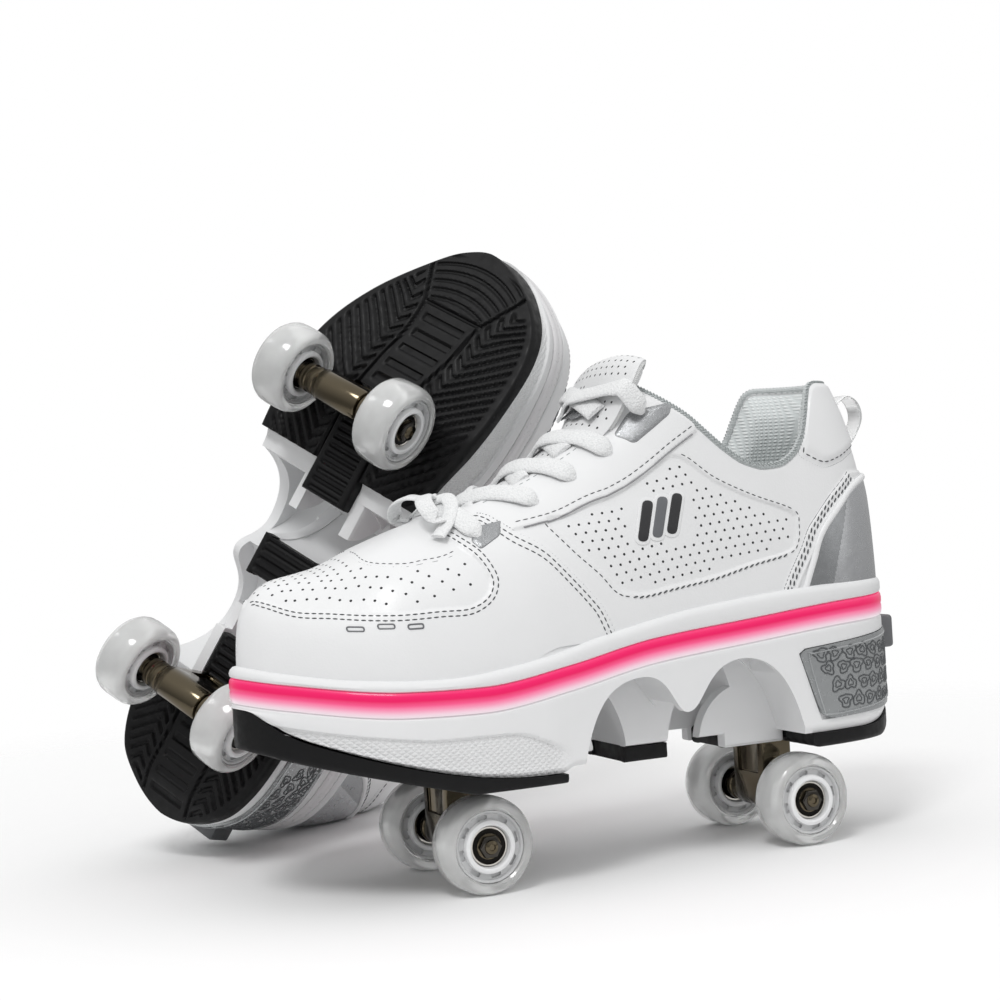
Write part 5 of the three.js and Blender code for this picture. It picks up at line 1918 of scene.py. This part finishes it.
emit("outsole_front", outsole_front(), "shoe", [RUBBER], ("outsole_front",), angle=38)
emit("outsole_rear", outsole_rear(), "shoe", [RUBBER], ("outsole_rear",), angle=38)
tooth = boolean(block_tread(-12, 31, SPINE_HALF - 1, WALK_Z, RUBBER_TOP), cuts(ALL_SWEEPS))
emit("outsole_middle", tooth, "shoe", [RUBBER], ("outsole_middle",), angle=38)


def insole():
    """A thin pad over the midsole's floor."""
    x = np.linspace(-146, 122, 110)
    low, high = sole_edges(x, 12.0)
    top = smooth(FLOOR, x) + 4.2
    flat = lambda px, py: np.zeros(px.shape)
    return pillow(x, low, high, top, top - 3.7, flat, 40, edge=1.2, both=True, ends=1.2)


emit("insole", insole(), "shoe", [LINING], ("insole",))


def release_button():
    """A rounded button with three ribs."""
    p = rounded([(131.5, 79.3), (143, 79.3), (143, 94.2), (131.5, 94.2)], 2.0, 6)
    form = Form().add(*prism(p, -12, 12, bevel=1.4))
    for z in (83.0, 86.8, 90.6):
        rib = [(142.9, -9, z), (142.9, 9, z)]
        form.add(*tube(resample(np.array(rib, float), 1.5), 0.6, 8))
    return form


emit("release_button", release_button(), "button", [BUTTON], ("release_button",))


# ------------------------------------------------------------------- trucks


def truck_leg(truck):
    """The leg with its slots, the plate inside the pad and the flip pin."""
    side, pin, reach = TRUCKS[truck]
    x = pin - side * reach
    a = np.linspace(math.pi, 2 * math.pi, 25)
    foot = np.stack([x + LEG_HALF * np.cos(a), AXLE_Z + LEG_HALF * np.sin(a)], 1)
    outline = np.vstack([[(x - LEG_HALF, 51)], foot, [(x + LEG_HALF, 51)]])
    form = Form().add(*prism(outline, -PAD_HALF_WIDTH, PAD_HALF_WIDTH, bevel=1.1))
    tools = [Form().add(*prism(disc(x, AXLE_Z, 4.3), -20, 20))]
    for sign in (-1, 1):
        face = x + sign * LEG_HALF
        depth = sorted((face - sign * 1.2, face + sign * 3))
        tools.append(box_form(depth, (-8.5, 8.5), (29, 45), 0.5))
    form = boolean(form, cuts(tools))
    end = pin + side * (reach - LEG_HALF - 3.3)
    plate = box_form(sorted((x, end)), (-10, 10), (45.5, 48.5), 0.4)
    form.add(plate.points(), plate.f)
    pin_profile = [(0.01, -15.2), (1.7, -15.2), (2.0, -14.8), (2.0, 14.8), (1.7, 15.2), (0.01, 15.2)]
    form.add(*lathe(pin_profile, 20, (pin, 0, PIN_Z)))
    return form


def truck_axle(truck):
    """The axle with its collars and a domed nut at each end."""
    side, pin, reach = TRUCKS[truck]
    x = pin - side * reach
    form = Form()
    half = [(4.0, 13.0), (6.1, 13.3), (6.75, 14.0), (6.75, 16.4), (6.2, 16.8), (6.2, 18.2),
            (6.75, 18.6), (6.75, 21.1), (6.3, 21.7), (4.0, 21.8), (4.0, 37.0), (5.0, 37.1),
            (5.2, 37.3), (5.2, 37.6), (4.0, 37.8), (3.0, 39.9), (2.7, 40.6), (1.4, 41.0),
            (1.2, 40.4), (0.01, 40.4)]
    profile = [(r, -y) for r, y in reversed(half)] + half
    form.add(*lathe(profile, 48, (x, 0, AXLE_Z)))
    for sign in (-1, 1):
        a = np.linspace(0, 2 * math.pi, 6, endpoint=False)
        hexagon = rounded(np.stack([x + 5.0 * np.cos(a), AXLE_Z + 5.0 * np.sin(a)], 1), 0.5, 2)
        low, high = sorted((sign * 37.5, sign * 40.0))
        form.add(*prism(hexagon, low, high, bevel=0.6), material=1)
    return form


def flip_pad(truck):
    """The rubber pad round the flip pin, grooved on both faces."""
    side, pin, reach = TRUCKS[truck]
    half = reach - LEG_HALF - 0.3
    return block_tread(pin - half, pin + half, PAD_HALF_WIDTH, 43, 51, both=True)


for truck in TRUCKS:
    body = f"{truck}_truck"
    emit(f"{truck}_leg", truck_leg(truck), body, [BRONZE], (f"{truck}_leg",), angle=30)
    emit(f"{truck}_axle", truck_axle(truck), body, [BRONZE, NUT_STEEL], (f"{truck}_axle",),
         angle=30)
    emit(f"{truck}_flip_pad", flip_pad(truck), body, [RUBBER], (f"{truck}_flip_pad",))


# ------------------------------------------------------------------- wheels


def tyre_form():
    """A tyre with rounded shoulders and a stepped tread."""
    half = [(14.8, 8.2), (15.6, 9.0), (17.0, 8.95), (18.3, 8.1), (18.6, 7.6), (19.2, 6.9),
            (19.45, 6.2), (19.8, 5.4), (19.85, 3.6), (20.0, 3.2), (20.0, 0.0)]
    return Form().add(*lathe(mirrored(half)[::-1], 80))


def hub_form():
    """The hub's web with its slots, and the raised ring round the bearing."""
    web = [(9.8, 6.4), (13.2, 6.4), (13.7, 7.4), (14.5, 7.6)]
    core = Form().add(*lathe(mirrored(web)[::-1], 96))
    tools = []
    for k in range(8):
        a = 2 * math.pi * k / 8 + 0.2
        p = rounded([(-2.3, -0.95), (2.3, -0.95), (2.3, 0.95), (-2.3, 0.95)], 0.9)
        p = p + (0, 11.9)
        c, s = math.cos(a), math.sin(a)
        p = p @ np.array([[c, s], [-s, c]])
        for low, high in ((-12, -5.2), (5.2, 12)):
            tools.append(Form().add(*prism(p, low, high)))
    form = boolean(core, cuts(tools))
    ring = [(8.3, 7.2), (8.7, 8.4), (9.4, 8.7), (10.6, 8.4), (11.0, 7.6), (11.0, 6.0)]
    form.add(*lathe(mirrored(ring)[::-1], 80), material=1)
    return form


def bearing_form():
    """Races, dark shields and the spacer between the two bearings."""
    form = Form()
    outer = [(7.1, 6.3), (7.3, 6.5), (7.9, 6.5), (8.0, 6.3)]
    inner = [(4.3, 6.4), (5.2, 6.4), (5.3, 6.2)]
    shield = [(5.2, 6.0), (6.1, 5.8), (7.2, 6.0)]
    for profile, material in ((outer, 0), (inner, 0), (shield, 1)):
        form.add(*lathe(mirrored(profile)[::-1]), material=material)
    return form


TYRE_FORM, HUB_FORM, BEARING_FORM = tyre_form(), hub_form(), bearing_form()


def moved(form, offset):
    """A copy of a form at another place."""
    copy = Form().add(form.points() + np.array(offset), form.f)
    copy.m = list(form.m)
    return copy


for truck, (side, pin, reach) in TRUCKS.items():
    for name, y in (("outer", -WHEEL_Y), ("inner", WHEEL_Y)):
        centre = (pin - side * reach, y, AXLE_Z)
        body, wheel = f"{truck}_{name}_wheel", f"{truck}_{name}"
        emit(f"{wheel}_tyre", moved(TYRE_FORM, centre), body, [TYRE], (f"{wheel}_tyre",))
        emit(f"{wheel}_hub", moved(HUB_FORM, centre), body, [HUB_CORE, HUB],
             (f"{wheel}_hub",), angle=30)
        emit(f"{wheel}_bearing", moved(BEARING_FORM, centre), body,
             [STEEL, DARK_STEEL], (f"{wheel}_bearing",), angle=30)


# ------------------------------------------------------------ stage and camera

FLOOR_HALF, FLOOR_DROP = 6.0, 0.2 * MM
FADE_START, FADE_END = 0.24, 0.62
corners = [(-1, -1), (1, -1), (1, 1), (-1, 1)]
floor_mesh = bpy.data.meshes.new("floor")
floor_mesh.from_pydata([(x * FLOOR_HALF, y * FLOOR_HALF, 0) for x, y in corners], [], [(0, 1, 2, 3)])
floor = add_object("floor", floor_mesh)
floor.location.z = cad_low.z - FLOOR_DROP
floor_finish = Finish("floor_pale", (0.93, 0.93, 0.93), 0.9)
spot = floor_finish.new("ShaderNodeTexCoord").outputs["Object"]
apart = floor_finish.new("ShaderNodeVectorMath", {0: spot}, operation="LENGTH").outputs["Value"]
clear = floor_finish.new("ShaderNodeBsdfTransparent").outputs[0]
fade = floor_finish.new("ShaderNodeMixShader", {
    0: floor_finish.map(apart, FADE_START, FADE_END, 0, 1),
    1: floor_finish.shader.outputs[0], 2: clear})
floor_output = floor_finish.tree.nodes["Material Output"]
floor_finish.tree.links.new(fade.outputs[0], floor_output.inputs["Surface"])
floor_mesh.materials.append(floor_finish.material)

# The camera sees plain white; the object is lit less strongly, and less from below.
LOW_SKY, HIGH_SKY = 0.34, 0.95
world = bpy.data.worlds.new("studio")
bpy.context.scene.world = world
world.use_nodes = True
nodes, links = world.node_tree.nodes, world.node_tree.links
glow = nodes["Background"]
glow.inputs["Color"].default_value = (1, 1, 1, 1)
split, sky, level = (nodes.new(f"ShaderNode{kind}") for kind in ("SeparateXYZ", "MapRange", "MapRange"))
limits = {"From Min": -0.1, "From Max": 0.75, "To Min": LOW_SKY, "To Max": HIGH_SKY}
for key, value in limits.items():
    sky.inputs[key].default_value = value
level.inputs["To Max"].default_value = 1.0
links.new(nodes.new("ShaderNodeTexCoord").outputs["Generated"], split.inputs[0])
links.new(split.outputs["Z"], sky.inputs["Value"])
links.new(sky.outputs["Result"], level.inputs["To Min"])
links.new(nodes.new("ShaderNodeLightPath").outputs["Is Camera Ray"], level.inputs["Value"])
links.new(level.outputs["Result"], glow.inputs["Strength"])


def softbox(name, location, target, size, power):
    """A round soft light aimed at a point."""
    data = bpy.data.lights.new(name, "AREA")
    data.shape, data.size, data.energy = "DISK", size, power
    light = add_object(name, data)
    light.location = location
    light.rotation_euler = (Vector(target) - Vector(location)).to_track_quat("-Z", "Y").to_euler()


softbox("key", (-0.7, -0.9, 1.5), (0, 0, 0.1), 0.5, 10)
softbox("fill", (1.2, -1.0, 0.7), (0, 0, 0.1), 1.2, 1.5)

CAMERA_AT = (-371.8, -739.0, 164.1)
AZIMUTH, ELEVATION, ROLL, LENS = -23.84, 0.42, -3.54, 68.36
az, el, roll = (math.radians(a) for a in (AZIMUTH, ELEVATION, ROLL))
back = Vector((math.sin(az) * math.cos(el), -math.cos(az) * math.cos(el), math.sin(el)))
across = Vector((0, 0, 1)).cross(back).normalized()
above = back.cross(across)
across, above = (across * math.cos(roll) + above * math.sin(roll),
                 above * math.cos(roll) - across * math.sin(roll))
camera_data = bpy.data.cameras.new("camera")
camera = add_object("camera", camera_data)
turn = Matrix((across, above, back)).transposed().to_4x4()
at = FRAMES["left"] @ np.array([*CAMERA_AT, 1.0])
camera.matrix_world = Matrix.Translation(at[:3]) @ turn
camera_data.lens = LENS
camera_data.sensor_width = 36
camera_data.clip_start, camera_data.clip_end = 0.05, 20
bpy.context.scene.camera = camera
bpy.context.scene.view_settings.view_transform = "Standard"
